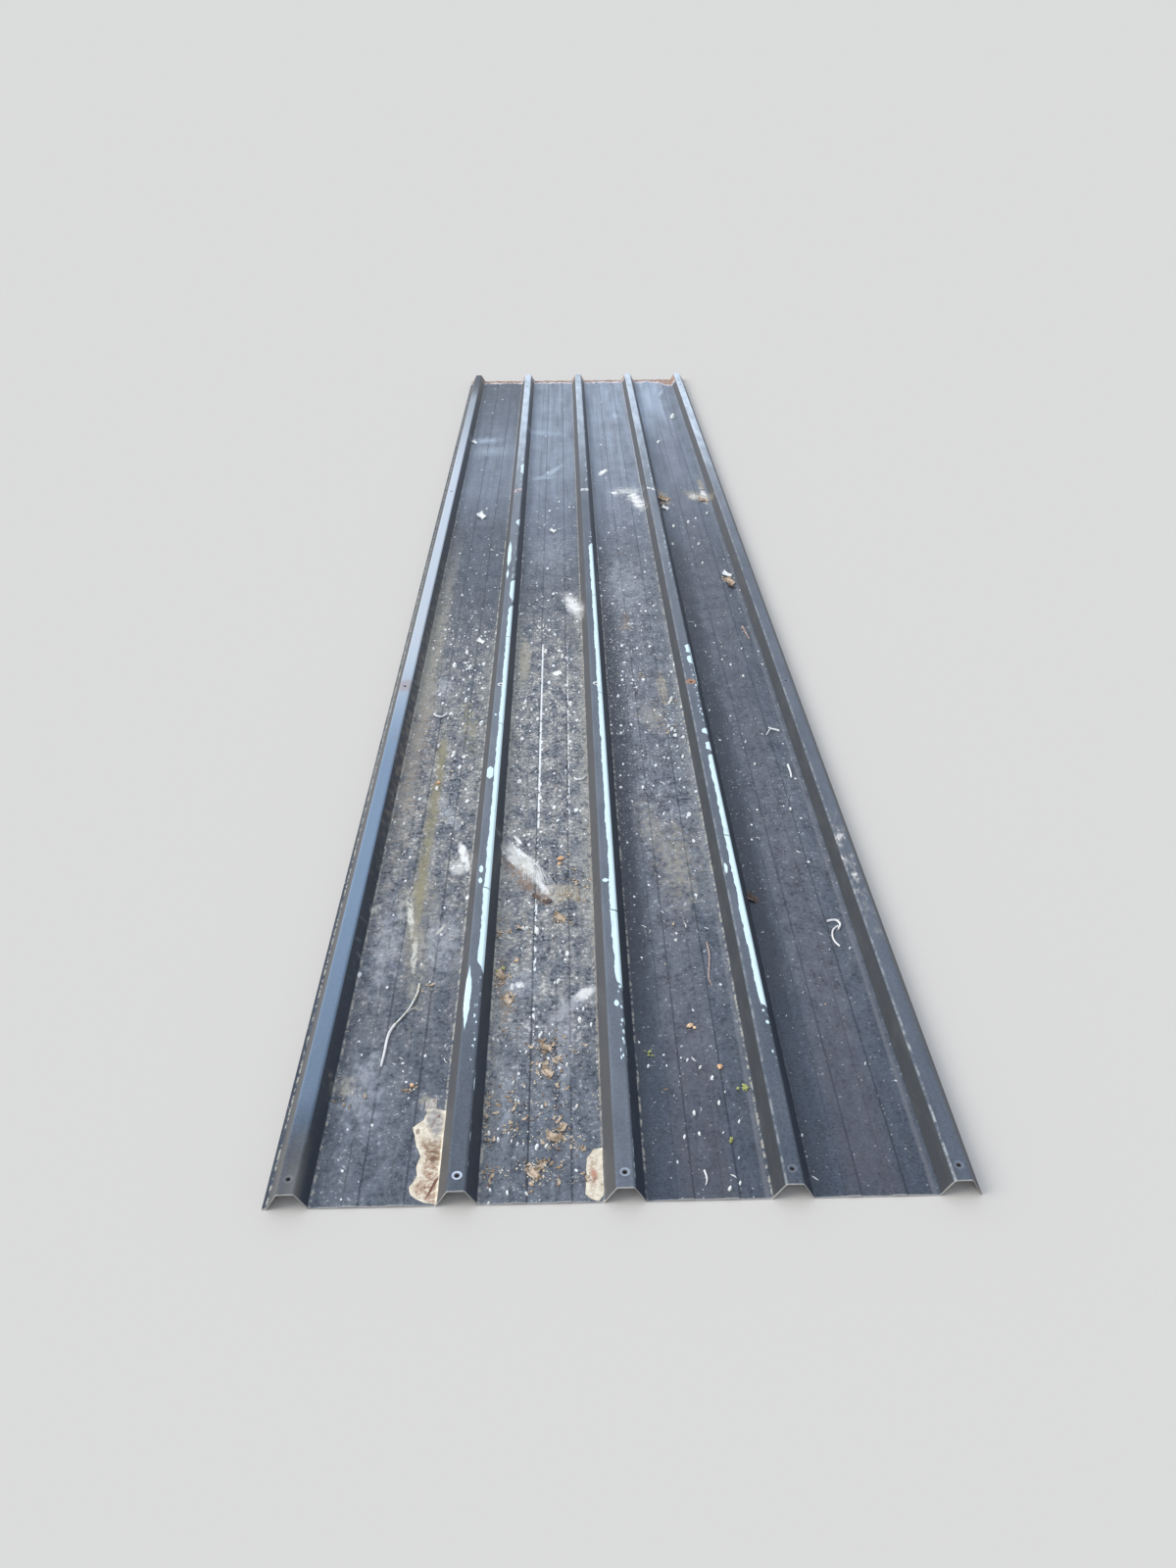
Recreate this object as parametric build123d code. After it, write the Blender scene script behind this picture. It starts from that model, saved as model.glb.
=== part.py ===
from build123d import *
from math import floor, hypot
import os

# A roll-formed box-profile roofing sheet, lying flat with its ribs up and running along Y.
# The origin is the middle of its footprint, on the surface that it lies on.

# Driving sizes, in millimetres

# The sheet
sheet_length = 5000.0
steel_thickness = 0.7

# The main ribs
rib_count = 5
rib_pitch = 250.0
rib_depth = 32.0
crown_width = 25.0
rib_base_width = 62.0

# The bends of the ribs, measured on the inside of each bend
rib_bend_radius = 4.0

# The two low swages that stiffen each pan
swage_spacing = 68.0
swage_width = 26.0
swage_slope_run = 3.5
swage_height = 1.3
swage_bend_radius = 2.0

# The foot along the left edge, which carries the lap of the next sheet
lap_foot_width = 7.0

# The screw holes, drilled through the crowns where the sheet crossed its purlins
screw_hole_diameter = 6.0
first_row_inset = 30.0
purlin_spacing = 1580.0
hole_edge_distance = 20.0


# The outline across the sheet

flank_run = (rib_base_width - crown_width) / 2
flank_length = hypot(flank_run, rib_depth)
# The last flank is cut square to its own slope, so its upper corner leans out past the lower one
cut_edge_lean = steel_thickness * rib_depth / flank_length
overall_width = lap_foot_width + rib_base_width + (rib_count - 1) * rib_pitch + cut_edge_lean
first_rib_x = -overall_width / 2 + lap_foot_width + rib_base_width / 2
rib_centres = [first_rib_x + number * rib_pitch for number in range(rib_count)]

# The line that is bent below is the underside, so a bend there has the inside radius
# where the metal turns down over a crown, and a thickness more where it turns up out of a pan
rib_crown_radius = rib_bend_radius
rib_foot_radius = rib_bend_radius + steel_thickness
swage_crown_radius = swage_bend_radius
swage_foot_radius = swage_bend_radius + steel_thickness


def swage(centre):
    """Corners of one low flat-topped swage, each with its bend radius."""
    foot = swage_width / 2
    top = foot - swage_slope_run
    return [
        ((centre - foot, 0), swage_foot_radius),
        ((centre - top, swage_height), swage_crown_radius),
        ((centre + top, swage_height), swage_crown_radius),
        ((centre + foot, 0), swage_foot_radius),
    ]


def pan(centre):
    """Corners of the two swages in the pan between one rib and the next."""
    return swage(centre - swage_spacing / 2) + swage(centre + swage_spacing / 2)


def rib(centre):
    """Corners of one trapezoidal rib, each with its bend radius."""
    foot = rib_base_width / 2
    top = crown_width / 2
    return [
        ((centre - foot, 0), rib_foot_radius),
        ((centre - top, rib_depth), rib_crown_radius),
        ((centre + top, rib_depth), rib_crown_radius),
        ((centre + foot, 0), rib_foot_radius),
    ]


def underside():
    """Corners across the whole sheet, from the lap foot to the plain right edge."""
    left_edge = (rib_centres[0] - rib_base_width / 2 - lap_foot_width, 0)
    corners = [(left_edge, 0)] + rib(rib_centres[0])
    for left_rib, right_rib in zip(rib_centres, rib_centres[1:]):
        corners += pan((left_rib + right_rib) / 2) + rib(right_rib)
    return corners


def hole_places():
    """Middle of each screw hole: one on every crown, at every purlin that the sheet reaches."""
    near_end = -sheet_length / 2
    free_length = sheet_length - first_row_inset - hole_edge_distance
    row_count = 1 + floor(free_length / purlin_spacing)
    rows = [near_end + first_row_inset + row * purlin_spacing for row in range(row_count)]
    crown_top = rib_depth + steel_thickness
    return [(x, y, crown_top) for y in rows for x in rib_centres]


def roofing_sheet():
    """The coil bent to its section, run out to length and drilled."""
    corners = underside()
    points = [point for point, radius in corners]
    radii = [radius for point, radius in corners[1:-1]]
    with BuildPart() as sheet:
        with BuildSketch(Plane.XZ):
            with BuildLine():
                FilletPolyline(*points, radius=radii)
                offset(amount=steel_thickness, side=Side.LEFT)
            make_face()
        extrude(amount=sheet_length / 2, both=True)
        with Locations(*hole_places()):
            Hole(screw_hole_diameter / 2, depth=rib_depth / 2)
    return sheet.part


parts = {"roofing_sheet": roofing_sheet()}

os.makedirs("parts", exist_ok=True)
for node, shape in parts.items():
    export_step(shape, f"parts/{node}.step")
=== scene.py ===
import bmesh
import bpy
import random
from math import atan2, cos, hypot, pi, radians, sin, tan
from mathutils import Matrix, Vector


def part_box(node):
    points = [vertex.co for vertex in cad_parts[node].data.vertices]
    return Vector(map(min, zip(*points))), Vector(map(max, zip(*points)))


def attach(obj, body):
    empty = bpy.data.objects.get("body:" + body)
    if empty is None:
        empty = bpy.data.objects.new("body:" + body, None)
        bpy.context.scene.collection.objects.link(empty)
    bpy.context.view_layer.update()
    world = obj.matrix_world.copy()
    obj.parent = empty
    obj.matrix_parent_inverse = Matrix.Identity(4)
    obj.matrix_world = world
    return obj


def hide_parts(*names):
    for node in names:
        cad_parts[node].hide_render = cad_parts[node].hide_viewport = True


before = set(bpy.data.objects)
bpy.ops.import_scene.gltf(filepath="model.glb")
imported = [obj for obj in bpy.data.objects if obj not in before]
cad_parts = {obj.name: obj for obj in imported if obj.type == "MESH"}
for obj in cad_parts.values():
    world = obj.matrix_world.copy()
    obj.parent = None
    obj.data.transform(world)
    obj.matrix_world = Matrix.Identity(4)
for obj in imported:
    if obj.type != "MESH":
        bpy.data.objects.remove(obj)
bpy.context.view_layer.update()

# The sheet's own sizes, in metres

sheet_low, sheet_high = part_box("roofing_sheet")
sheet_length = sheet_high.y - sheet_low.y
near_end = sheet_low.y
far_end = sheet_high.y
steel_thickness = 0.0007

rib_count = 5
rib_pitch = 0.250
rib_depth = sheet_high.z - sheet_low.z - steel_thickness
crown_width = 0.025
rib_base_width = 0.062
rib_bend_radius = 0.004

swage_spacing = 0.068
swage_width = 0.026
swage_slope_run = 0.0035
swage_height = 0.0013
swage_bend_radius = 0.002

lap_foot_width = 0.007

screw_hole_radius = 0.003
first_row_inset = 0.030
purlin_spacing = 1.580
row_count = 4

rib_centres = [
    sheet_low.x + lap_foot_width + rib_base_width / 2 + number * rib_pitch for number in range(rib_count)
]
middle_rib = rib_centres[2]
screw_rows = [near_end + first_row_inset + row * purlin_spacing for row in range(row_count)]


# Picking and shaping, as at the bench

# Points nearer than this are the same, and edges nearer than the gap are sewn together
same_place = 0.00001
seam_gap = 0.00005


def deselect_all():
    for thing in bpy.context.selected_objects:
        thing.select_set(False)


def take_up(piece):
    """Make this the one piece that the next tools act on."""
    deselect_all()
    piece.select_set(True)
    bpy.context.view_layer.objects.active = piece


def start_editing(piece):
    take_up(piece)
    bpy.ops.object.mode_set(mode="EDIT")


def stop_editing():
    bpy.ops.object.mode_set(mode="OBJECT")


def pick(kind, test):
    """Select the vertices, edges or faces whose place passes the test."""
    mode = {"verts": "VERT", "edges": "EDGE", "faces": "FACE"}[kind]
    bpy.ops.mesh.select_mode(type=mode)
    bpy.ops.mesh.select_all(action="DESELECT")
    mesh = bpy.context.edit_object.data
    cage = bmesh.from_edit_mesh(mesh)
    for element in getattr(cage, kind):
        if test(element):
            element.select_set(True)
    cage.select_flush_mode()
    bmesh.update_edit_mesh(mesh)


def middle(element):
    """Mean place of an edge's or a face's corners."""
    corners = [corner.co for corner in element.verts]
    return sum(corners, Vector()) / len(corners)


def copy_of(pattern):
    """Another of the same, with a mesh of its own."""
    copy = pattern.copy()
    copy.data = pattern.data.copy()
    bpy.context.collection.objects.link(copy)
    return copy


def join(pieces):
    """Make one piece of these, in the first one's place."""
    take_up(pieces[0])
    for piece in pieces:
        piece.select_set(True)
    bpy.ops.object.join()
    return bpy.context.active_object


def select_whole():
    bpy.ops.mesh.select_all(action="SELECT")


def face_outward():
    select_whole()
    bpy.ops.mesh.normals_make_consistent(inside=False)


def apply_modifier(piece, kind, **settings):
    modifier = piece.modifiers.new(kind.title(), kind)
    for name, value in settings.items():
        setattr(modifier, name, value)
    take_up(piece)
    bpy.ops.object.modifier_apply(modifier=modifier.name)


def smooth_step(value):
    """0 below 0, 1 above 1 and an easy rise between."""
    held = min(max(value, 0.0), 1.0)
    return held * held * (3 - 2 * held)


# The sheet: a flat strip folded to its section, drilled and then given its thickness

def section_corners():
    """Underside corners from the lap foot to the right edge, each with its fold's radius, or none."""
    corners = [(sheet_low.x, 0.0, None)]
    foot_radius = rib_bend_radius + steel_thickness
    swage_foot_radius = swage_bend_radius + steel_thickness
    for number, rib in enumerate(rib_centres):
        corners += [
            (rib - rib_base_width / 2, 0.0, foot_radius),
            (rib - crown_width / 2, rib_depth, rib_bend_radius),
            (rib + crown_width / 2, rib_depth, rib_bend_radius),
            (rib + rib_base_width / 2, 0.0, foot_radius),
        ]
        if number == rib_count - 1:
            continue
        for side in (-1, 1):
            swage = rib + rib_pitch / 2 + side * swage_spacing / 2
            top = swage_width / 2 - swage_slope_run
            corners += [
                (swage - swage_width / 2, 0.0, swage_foot_radius),
                (swage - top, swage_height, swage_bend_radius),
                (swage + top, swage_height, swage_bend_radius),
                (swage + swage_width / 2, 0.0, swage_foot_radius),
            ]
    return corners


def fold_strip(corners):
    """Start with the lap foot as a flat strip and draw the rest out of its edge, fold by fold."""
    (left, _, _), (right, _, _) = corners[:2]
    bpy.ops.mesh.primitive_plane_add(size=1, location=(0, 0, 0))
    sheet = bpy.context.active_object
    sheet.name = "weathered_sheet"
    start_editing(sheet)
    bpy.ops.transform.resize(value=(right - left, sheet_length, 1))
    bpy.ops.transform.translate(value=((left + right) / 2, 0, 0))
    x, z = right, 0.0
    for next_x, next_z, _ in corners[2:]:
        pick("edges", lambda edge: all(hypot(v.co.x - x, v.co.z - z) < same_place for v in edge.verts))
        bpy.ops.mesh.extrude_region_move(TRANSFORM_OT_translate={"value": (next_x - x, 0, next_z - z)})
        x, z = next_x, next_z
    stop_editing()
    return sheet


# A fold that turns further than this is a rib's, and takes more steps round its bend than a swage's
rib_turn = radians(40)
rib_bend_steps = 5
swage_bend_steps = 2


def round_folds(sheet, corners):
    """Give every fold its bend radius."""
    start_editing(sheet)
    folds = {}
    for before, here, after in zip(corners, corners[1:], corners[2:]):
        turn = atan2(after[1] - here[1], after[0] - here[0]) - atan2(here[1] - before[1], here[0] - before[0])
        folds.setdefault((round(abs(turn), 4), here[2]), []).append(here[:2])
    for (turn, radius), places in folds.items():
        pick("edges", lambda edge: any(
            all(hypot(v.co.x - x, v.co.z - z) < same_place for v in edge.verts) for x, z in places
        ))
        steps = rib_bend_steps if turn > rib_turn else swage_bend_steps
        bpy.ops.mesh.bevel(offset=radius * tan(turn / 2), segments=steps, profile=0.5, affect="EDGES")
    stop_editing()


# Flats broader than this are split, with this many cuts
broad_flat = 0.030
flat_cuts = 3


def split_flats(sheet):
    """Split the broad flats of the pans lengthwise, so that they can bow."""
    start_editing(sheet)
    pick("edges", lambda edge: (
        abs(edge.verts[0].co.y - edge.verts[1].co.y) < same_place
        and abs(edge.verts[0].co.x - edge.verts[1].co.x) > broad_flat
    ))
    bpy.ops.mesh.subdivide(number_cuts=flat_cuts)
    stop_editing()


# Half the length of the patch that is cut out round a screw hole
crater_half_length = 0.012

# About how long the short lengths are that the sheet is cut into between the holes
row_length = 0.050


def mark_rows(sheet):
    """Cut the sheet across beside each screw row, then into short lengths that can bow."""
    start_editing(sheet)
    cuts = sorted(row + side * crater_half_length for row in screw_rows for side in (-1, 1))
    for cut in cuts:
        select_whole()
        bpy.ops.mesh.bisect(plane_co=(0, cut, 0), plane_no=(0, 1, 0))
    ends = [near_end] + cuts + [far_end]
    for low, high in zip(ends, ends[1:]):
        pieces = round((high - low) / row_length)
        if pieces < 2:
            continue
        pick("edges", lambda edge: (
            abs(edge.verts[0].co.y - edge.verts[1].co.y) > 0.9 * (high - low)
            and low < middle(edge).y < high
        ))
        bpy.ops.mesh.subdivide(number_cuts=pieces - 1)
    stop_editing()


# Radius and depth of the dish round a screw hole, from the washer's edge in to the hole
crater_rings = [
    (0.0096, 0.0), (0.0084, -0.00025), (0.0060, -0.0004), (0.0045, -0.0009), (screw_hole_radius, -0.0014),
]
crater_sides = 24

# The patch's own rim lies further than this outside the widest ring
rim_gap = 0.0003


def on_ring(corner, radius):
    """Whether a corner of the crater lies on the circle of this radius."""
    return abs(corner.co.xy.length - radius) < same_place


def crater():
    """A screw hole in a square of the crown, dished where the screw was driven home."""
    bend_run = rib_bend_radius * tan(atan2(rib_depth, (rib_base_width - crown_width) / 2) / 2)
    flat_width = crown_width - 2 * bend_run
    bpy.ops.mesh.primitive_plane_add(size=1, location=(0, 0, 0))
    patch = bpy.context.active_object
    patch.name = "screw_crater"
    start_editing(patch)
    bpy.ops.transform.resize(value=(flat_width, 2 * crater_half_length, 1))
    bpy.ops.mesh.delete(type="ONLY_FACE")
    for radius, depth in crater_rings:
        bpy.ops.mesh.primitive_circle_add(vertices=crater_sides, radius=radius, location=(0, 0, depth))
    outer = None
    for radius, _ in crater_rings:
        if outer is None:
            pick("edges", lambda edge: all(
                v.co.xy.length > radius + rim_gap or on_ring(v, radius) for v in edge.verts
            ))
        else:
            pick("edges", lambda edge: not edge.link_faces[1:] and all(
                on_ring(v, radius) or on_ring(v, outer) for v in edge.verts
            ))
        bpy.ops.mesh.bridge_edge_loops()
        outer = radius
    stop_editing()
    return patch


def drill(sheet):
    """Set a crater into every crown at every purlin."""
    close_by = 0.001
    start_editing(sheet)
    pick("faces", lambda face: (
        middle(face).z > rib_depth - same_place
        and any(abs(middle(face).y - row) < close_by for row in screw_rows)
        and any(abs(middle(face).x - rib) < close_by for rib in rib_centres)
    ))
    bpy.ops.mesh.delete(type="FACE")
    stop_editing()
    pattern = crater()
    craters = []
    for row in screw_rows:
        for rib in rib_centres:
            copy = copy_of(pattern)
            copy.data.transform(Matrix.Translation((rib, row, rib_depth)))
            craters.append(copy)
    bpy.data.objects.remove(pattern)
    join([sheet] + craters)
    start_editing(sheet)
    select_whole()
    bpy.ops.mesh.remove_doubles(threshold=seam_gap)
    face_outward()
    stop_editing()
    crown = max(sheet.data.polygons, key=lambda face: face.center.z)
    if crown.normal.z < 0:
        start_editing(sheet)
        select_whole()
        bpy.ops.mesh.flip_normals()
        stop_editing()


# How far the pans bow and the crowns sink, how broad those waves are, and where the bow fades out
pan_bow = 0.0018
pan_wave = 0.22
crown_sag = 0.0009
crown_wave = 0.16
bow_fade = 0.035


def bow(sheet):
    """Let the pans bow up by a millimetre or so, as thin sheet does, and the crowns sink a little."""
    pans = sheet.vertex_groups.new(name="pans")
    crowns = sheet.vertex_groups.new(name="crowns")
    for vertex in sheet.data.vertices:
        from_foot = min(abs(vertex.co.x - rib) for rib in rib_centres) - rib_base_width / 2
        pans.add([vertex.index], smooth_step(from_foot / bow_fade), "REPLACE")
        crowns.add([vertex.index], smooth_step(vertex.co.z / rib_depth), "REPLACE")
    for group, height, wave in (("pans", pan_bow, pan_wave), ("crowns", -crown_sag, crown_wave)):
        swell = bpy.data.textures.new(group + "_swell", "CLOUDS")
        swell.noise_scale = wave
        apply_modifier(
            sheet, "DISPLACE", texture=swell, texture_coords="LOCAL", direction="Z",
            mid_level=0.0, strength=height, vertex_group=group,
        )
    sheet.vertex_groups.clear()


def build_sheet():
    corners = section_corners()
    sheet = fold_strip(corners)
    round_folds(sheet, corners)
    split_flats(sheet)
    mark_rows(sheet)
    drill(sheet)
    bow(sheet)
    for finish in (slate_coat(), backing_coat(), cut_steel()):
        sheet.data.materials.append(finish)
    apply_modifier(
        sheet, "SOLIDIFY", thickness=steel_thickness, offset=1, use_even_offset=True,
        material_offset=1, material_offset_rim=2,
    )
    bpy.ops.object.shade_smooth_by_angle(angle=radians(35))
    apply_modifier(sheet, "WEIGHTED_NORMAL", keep_sharp=True)
    return sheet


# How finishes are wired

def set_stops(ramp, stops):
    """Give a ramp these levels of opacity at these places, which go up."""
    while len(ramp.elements) < len(stops):
        ramp.elements.new(1.0)
    for element, (place, level) in zip(ramp.elements, stops):
        element.position = place
        element.color = (1, 1, 1, level)


# Places of the colours that go into a mix node, and of the one that comes out
mix_under = 6
mix_over = 7
mixed_colour = 2


class Wire:
    """One socket in a finish's tree of nodes. Sums written on wires add the nodes that work them out."""

    def __init__(self, tree, socket=None):
        self.tree = tree
        self.socket = socket

    def node(self, kind, settings=None, sockets=None, output=0):
        """Add a node, set it up, then give its sockets their values or links."""
        made = self.tree.nodes.new("ShaderNode" + kind)
        for name, value in (settings or {}).items():
            if name == "stops":
                set_stops(made.color_ramp, value)
            else:
                setattr(made, name, value)
        for name, value in (sockets or {}).items():
            if isinstance(value, Wire):
                self.tree.links.new(value.socket, made.inputs[name])
            else:
                made.inputs[name].default_value = value
        return Wire(self.tree, made.outputs[output])

    def other(self, output):
        """Another output of the node that this wire comes from."""
        return Wire(self.tree, self.socket.node.outputs[output])

    def math(self, operation, *values):
        return self.node("Math", {"operation": operation}, dict(enumerate(values)))

    def __add__(self, other):
        return self.math("ADD", self, other)

    def __radd__(self, other):
        return self.math("ADD", other, self)

    def __sub__(self, other):
        return self.math("SUBTRACT", self, other)

    def __rsub__(self, other):
        return self.math("SUBTRACT", other, self)

    def __mul__(self, other):
        return self.math("MULTIPLY", self, other)

    def __rmul__(self, other):
        return self.math("MULTIPLY", other, self)

    def __truediv__(self, other):
        return self.math("DIVIDE", self, other)

    def __abs__(self):
        return self.math("ABSOLUTE", self)

    def least(self, other):
        return self.math("MINIMUM", self, other)

    def most(self, other):
        return self.math("MAXIMUM", self, other)

    def wrap(self, period):
        """The same value brought within half a period of 0."""
        return self.math("WRAP", self, period / 2, -period / 2)

    def rise(self, low, high):
        """0 at low, 1 at high and an easy rise between; low may be the greater."""
        return self.node(
            "MapRange", {"interpolation_type": "SMOOTHSTEP", "clamp": False}, {0: self, 1: low, 2: high}
        )

    def within(self, centre, half, soft):
        """1 within half of the centre, fading out over soft."""
        return abs(self - centre).rise(half + soft, half)

    def blend(self, under, over):
        """Two colours mixed by this share of the second."""
        return self.node("Mix", {"data_type": "RGBA"}, {
            0: self, mix_under: under, mix_over: over,
        }, mixed_colour)


def tone(red, green, blue):
    """A colour in a paint card's numbers from 0 to 255, as the linear light that a socket takes."""
    parts = [part / 255 for part in (red, green, blue)]
    return tuple(((part + 0.055) / 1.055) ** 2.4 if part > 0.04 else part / 12.92 for part in parts) + (1.0,)


def any_of(masks):
    """A mask that covers whatever one of these covers."""
    whole = masks[0]
    for mask in masks[1:]:
        whole = whole.most(mask)
    return whole


class Finish:
    """A material built up coat by coat: each covers what lies under it, as far as its mask says."""

    def __init__(self, name, colour, cleanest=0.45, dustiest=0.88):
        self.material = bpy.data.materials.new(name)
        self.material.use_nodes = True
        tree = self.material.node_tree
        self.surface = tree.nodes["Principled BSDF"]
        self.start = Wire(tree)
        self.point = self.start.node("TexCoord", output="Object")
        self.colour = colour
        self.roughness = (cleanest, dustiest)
        self.relief = 0.0

    def noise(self, scale, stretch=None, detail=3.0, rough=0.5, output=0):
        """Cloudy noise with this many lumps to the metre, drawn out by the stretch along each axis."""
        where = self.point
        if stretch:
            where = self.start.node("Mapping", {"vector_type": "TEXTURE"}, {
                "Vector": where, "Scale": stretch,
            })
        return self.start.node("TexNoise", None, {
            "Vector": where, "Scale": scale, "Detail": detail, "Roughness": rough,
        }, output)

    def cover(self, mask, colour, lift=None):
        self.colour = mask.blend(self.colour, colour)
        if lift is not None:
            self.relief = self.relief + mask * lift

    def tint(self, amount, pale, dark):
        """Shift the colour towards pale or dark as the amount goes from 1 to 0."""
        shades = [
            self.start.node("Mix", {"data_type": "RGBA", "blend_type": "MULTIPLY"}, {
                0: 1.0, mix_under: self.colour, mix_over: shade,
            }, mixed_colour)
            for shade in (dark, pale)
        ]
        self.colour = amount.blend(*shades)

    def close(self):
        """Wire what was built up to the surface, which is the rougher the paler and browner it is."""
        tree = self.material.node_tree
        tree.links.new(self.colour.socket, self.surface.inputs["Base Color"])
        red = self.start.node("SeparateColor", None, {0: self.colour})
        cleanest, dustiest = self.roughness
        roughness = (red * 2 - red.other(2)).rise(0.0, 0.45) * (dustiest - cleanest) + cleanest
        tree.links.new(roughness.socket, self.surface.inputs["Roughness"])
        if isinstance(self.relief, Wire):
            bump = self.start.node("Bump", None, {"Strength": 1.0, "Distance": 1.0, "Height": self.relief})
            tree.links.new(bump.socket, self.surface.inputs["Normal"])
        return self.material


# Heights between which a crown's colours come in, and the pans' go out
crown_from = rib_depth - 0.0040
crown_full = rib_depth - 0.0022
pan_full = 0.0032
pan_gone = 0.0048

# How far a ragged edge strays, how broad a pan's soft margin is, and how soft a band's edge is
stray = 0.006
pan_margin = 0.030
band_softness = 0.0006


class SheetFinish(Finish):
    """A finish that knows where on the sheet it is, from the middle rib and the near end, in metres."""

    def __init__(self, name, colour, cleanest=0.45, dustiest=0.88):
        super().__init__(name, colour, cleanest, dustiest)
        self.bands = {}
        torn = self.noise(70, detail=2.0, output=1)
        self.point = self.start.node("VectorMath", {"operation": "SUBTRACT"}, {
            0: self.point, 1: (middle_rib, near_end, 0),
        })
        self.ragged = self.start.node("VectorMath", {"operation": "MULTIPLY_ADD"}, {
            0: torn, 1: (stray, stray, 0), 2: self.point,
        })
        parts = self.start.node("SeparateXYZ", None, {0: self.point})
        self.across, self.along, self.height = (parts.other(letter) for letter in "XYZ")
        self.share_along = self.along / sheet_length
        self.from_rib = self.across.wrap(rib_pitch)
        self.from_pan = (self.across + rib_pitch / 2).wrap(rib_pitch)
        self.crown = self.height.rise(crown_from, crown_full)
        self.pan = self.height.rise(pan_gone, pan_full)
        flank = 1 - self.crown.most(self.pan)
        self.right_flank = flank * self.from_rib.rise(-0.001, 0.001)
        self.left_flank = flank - self.right_flank
        self.tatter = self.noise(48, detail=4.0) * 2 - 1

    def band(self, centre, half):
        """The lengthwise band this far from the middle rib, wired up the first time that it is asked for."""
        if centre not in self.bands:
            self.bands[centre] = (self.across - centre).within(0, half, band_softness)
        return self.bands[centre]

    def on_rib(self, number):
        """The band of the sheet whose nearest rib is this one, counted from 1 at the left."""
        return self.band((number - 3) * rib_pitch, rib_pitch / 2)

    def on_pan(self, number):
        return self.band((number - 2.5) * rib_pitch, rib_pitch / 2 - pan_margin)

    def profile(self, stops):
        """A level that runs from stop to stop, each a distance from the near end and its level."""
        shares = [(place / sheet_length, level) for place, level in stops]
        return self.start.node("ValToRGB", {"stops": shares}, {0: self.share_along}, "Alpha")

    def by_pan(self, levels):
        return any_of([self.on_pan(number) * self.profile(stops) for number, stops in levels.items()])

    def by_rib(self, levels):
        return any_of([self.on_rib(number) * self.profile(stops) for number, stops in levels.items()])

    def blot(self, x, y, wide, long, turn=0.0, ragged=0.5, soft=0.25):
        """An oval stain this wide and long, turned by so many degrees, with a ragged edge."""
        oval = self.start.node("Mapping", {"vector_type": "TEXTURE"}, {
            "Vector": self.point, "Location": (x, y, 0), "Rotation": (0, 0, radians(turn)),
            "Scale": (wide * 2, long * 2, 10),
        })
        # The ball falls from 1 in its middle to 0 at four times the stain's reach
        ball = self.start.node("TexGradient", {"gradient_type": "SPHERICAL"}, {0: oval}, "Fac")
        return (ball - self.tatter * (ragged / 4)).rise(1 - (1 + soft) / 4, 1 - (1 - soft) / 4)

    def blots(self, stains):
        """A mask for each of these stains."""
        masks = []
        for *shape, strength in stains:
            mask = self.blot(*shape)
            masks.append(mask if strength == 1 else mask * strength)
        return masks

    def specks(self, cell, share, smallest, largest, stretch=(1, 1), turn=0.0):
        """Ragged dots: one to a cell of this width, in a share of the cells, of these radii."""
        where = self.start.node("Mapping", {"vector_type": "TEXTURE"}, {
            "Vector": self.ragged, "Rotation": (0, 0, radians(turn)), "Scale": (*stretch, 1),
        })
        cells = self.start.node("TexVoronoi", {"voronoi_dimensions": "2D"}, {
            "Vector": where, "Scale": 1 / cell,
        })
        luck = self.start.node("SeparateColor", None, {0: cells.other("Color")})
        radius = luck * ((largest - smallest) / cell) + smallest / cell
        dot = (cells - radius).rise(0.0003 / cell, -0.0003 / cell)
        return dot * (luck.other(1) + share).rise(0.999, 1.001)

    def inside(self, stretches):
        """How far along its length a point is inside one of these stretches; below 0 outside them."""
        depth = None
        for start, end in stretches:
            here = (self.along - start).least(end - self.along)
            depth = here if depth is None else depth.most(here)
        return depth


# The top side: a slate plastic coat, faded, soiled, peeled along its crowns and rusting at the far end, with
# painted shade and painted sky reflections

def slate_coat():
    coat = SheetFinish("slate_coat", tone(62, 69, 79))
    fade(coat)
    soil_shade_and_sheen(coat)
    grime_and_shade_flanks(coat)
    chalk_and_highlight_crowns(coat)
    draw_dirt_and_fold_shade(coat)
    sprinkle(coat)
    stain(coat)
    tear_patches(coat)
    peel_strips(coat)
    mark_screws(coat)
    wear_ends(coat)
    return coat.close()


def fade(coat):
    """Uneven fading: broad clouds, faint lengthwise streaks and the grain of the plastic."""
    broad = coat.noise(9)
    streak = coat.noise(70, stretch=(1, 22, 1), detail=2.0)
    grit = coat.noise(260, detail=2.0)
    coat.tint(broad.rise(0.30, 0.70), (1.16, 1.11, 1.08, 1), (0.88, 0.93, 0.97, 1))
    coat.tint(streak.rise(0.30, 0.70), (1.12, 1.12, 1.12, 1), (0.88, 0.88, 0.88, 1))
    coat.tint(grit.rise(0.30, 0.70), (1.30, 1.30, 1.30, 1), (0.70, 0.70, 0.70, 1))
    purple = coat.pan * coat.across.rise(0.02, 0.06) * coat.from_pan.within(0.0, 0.030, 0.020)
    coat.cover(purple * 0.22, tone(92, 80, 84))
    coat.relief = grit * 0.00006


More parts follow.
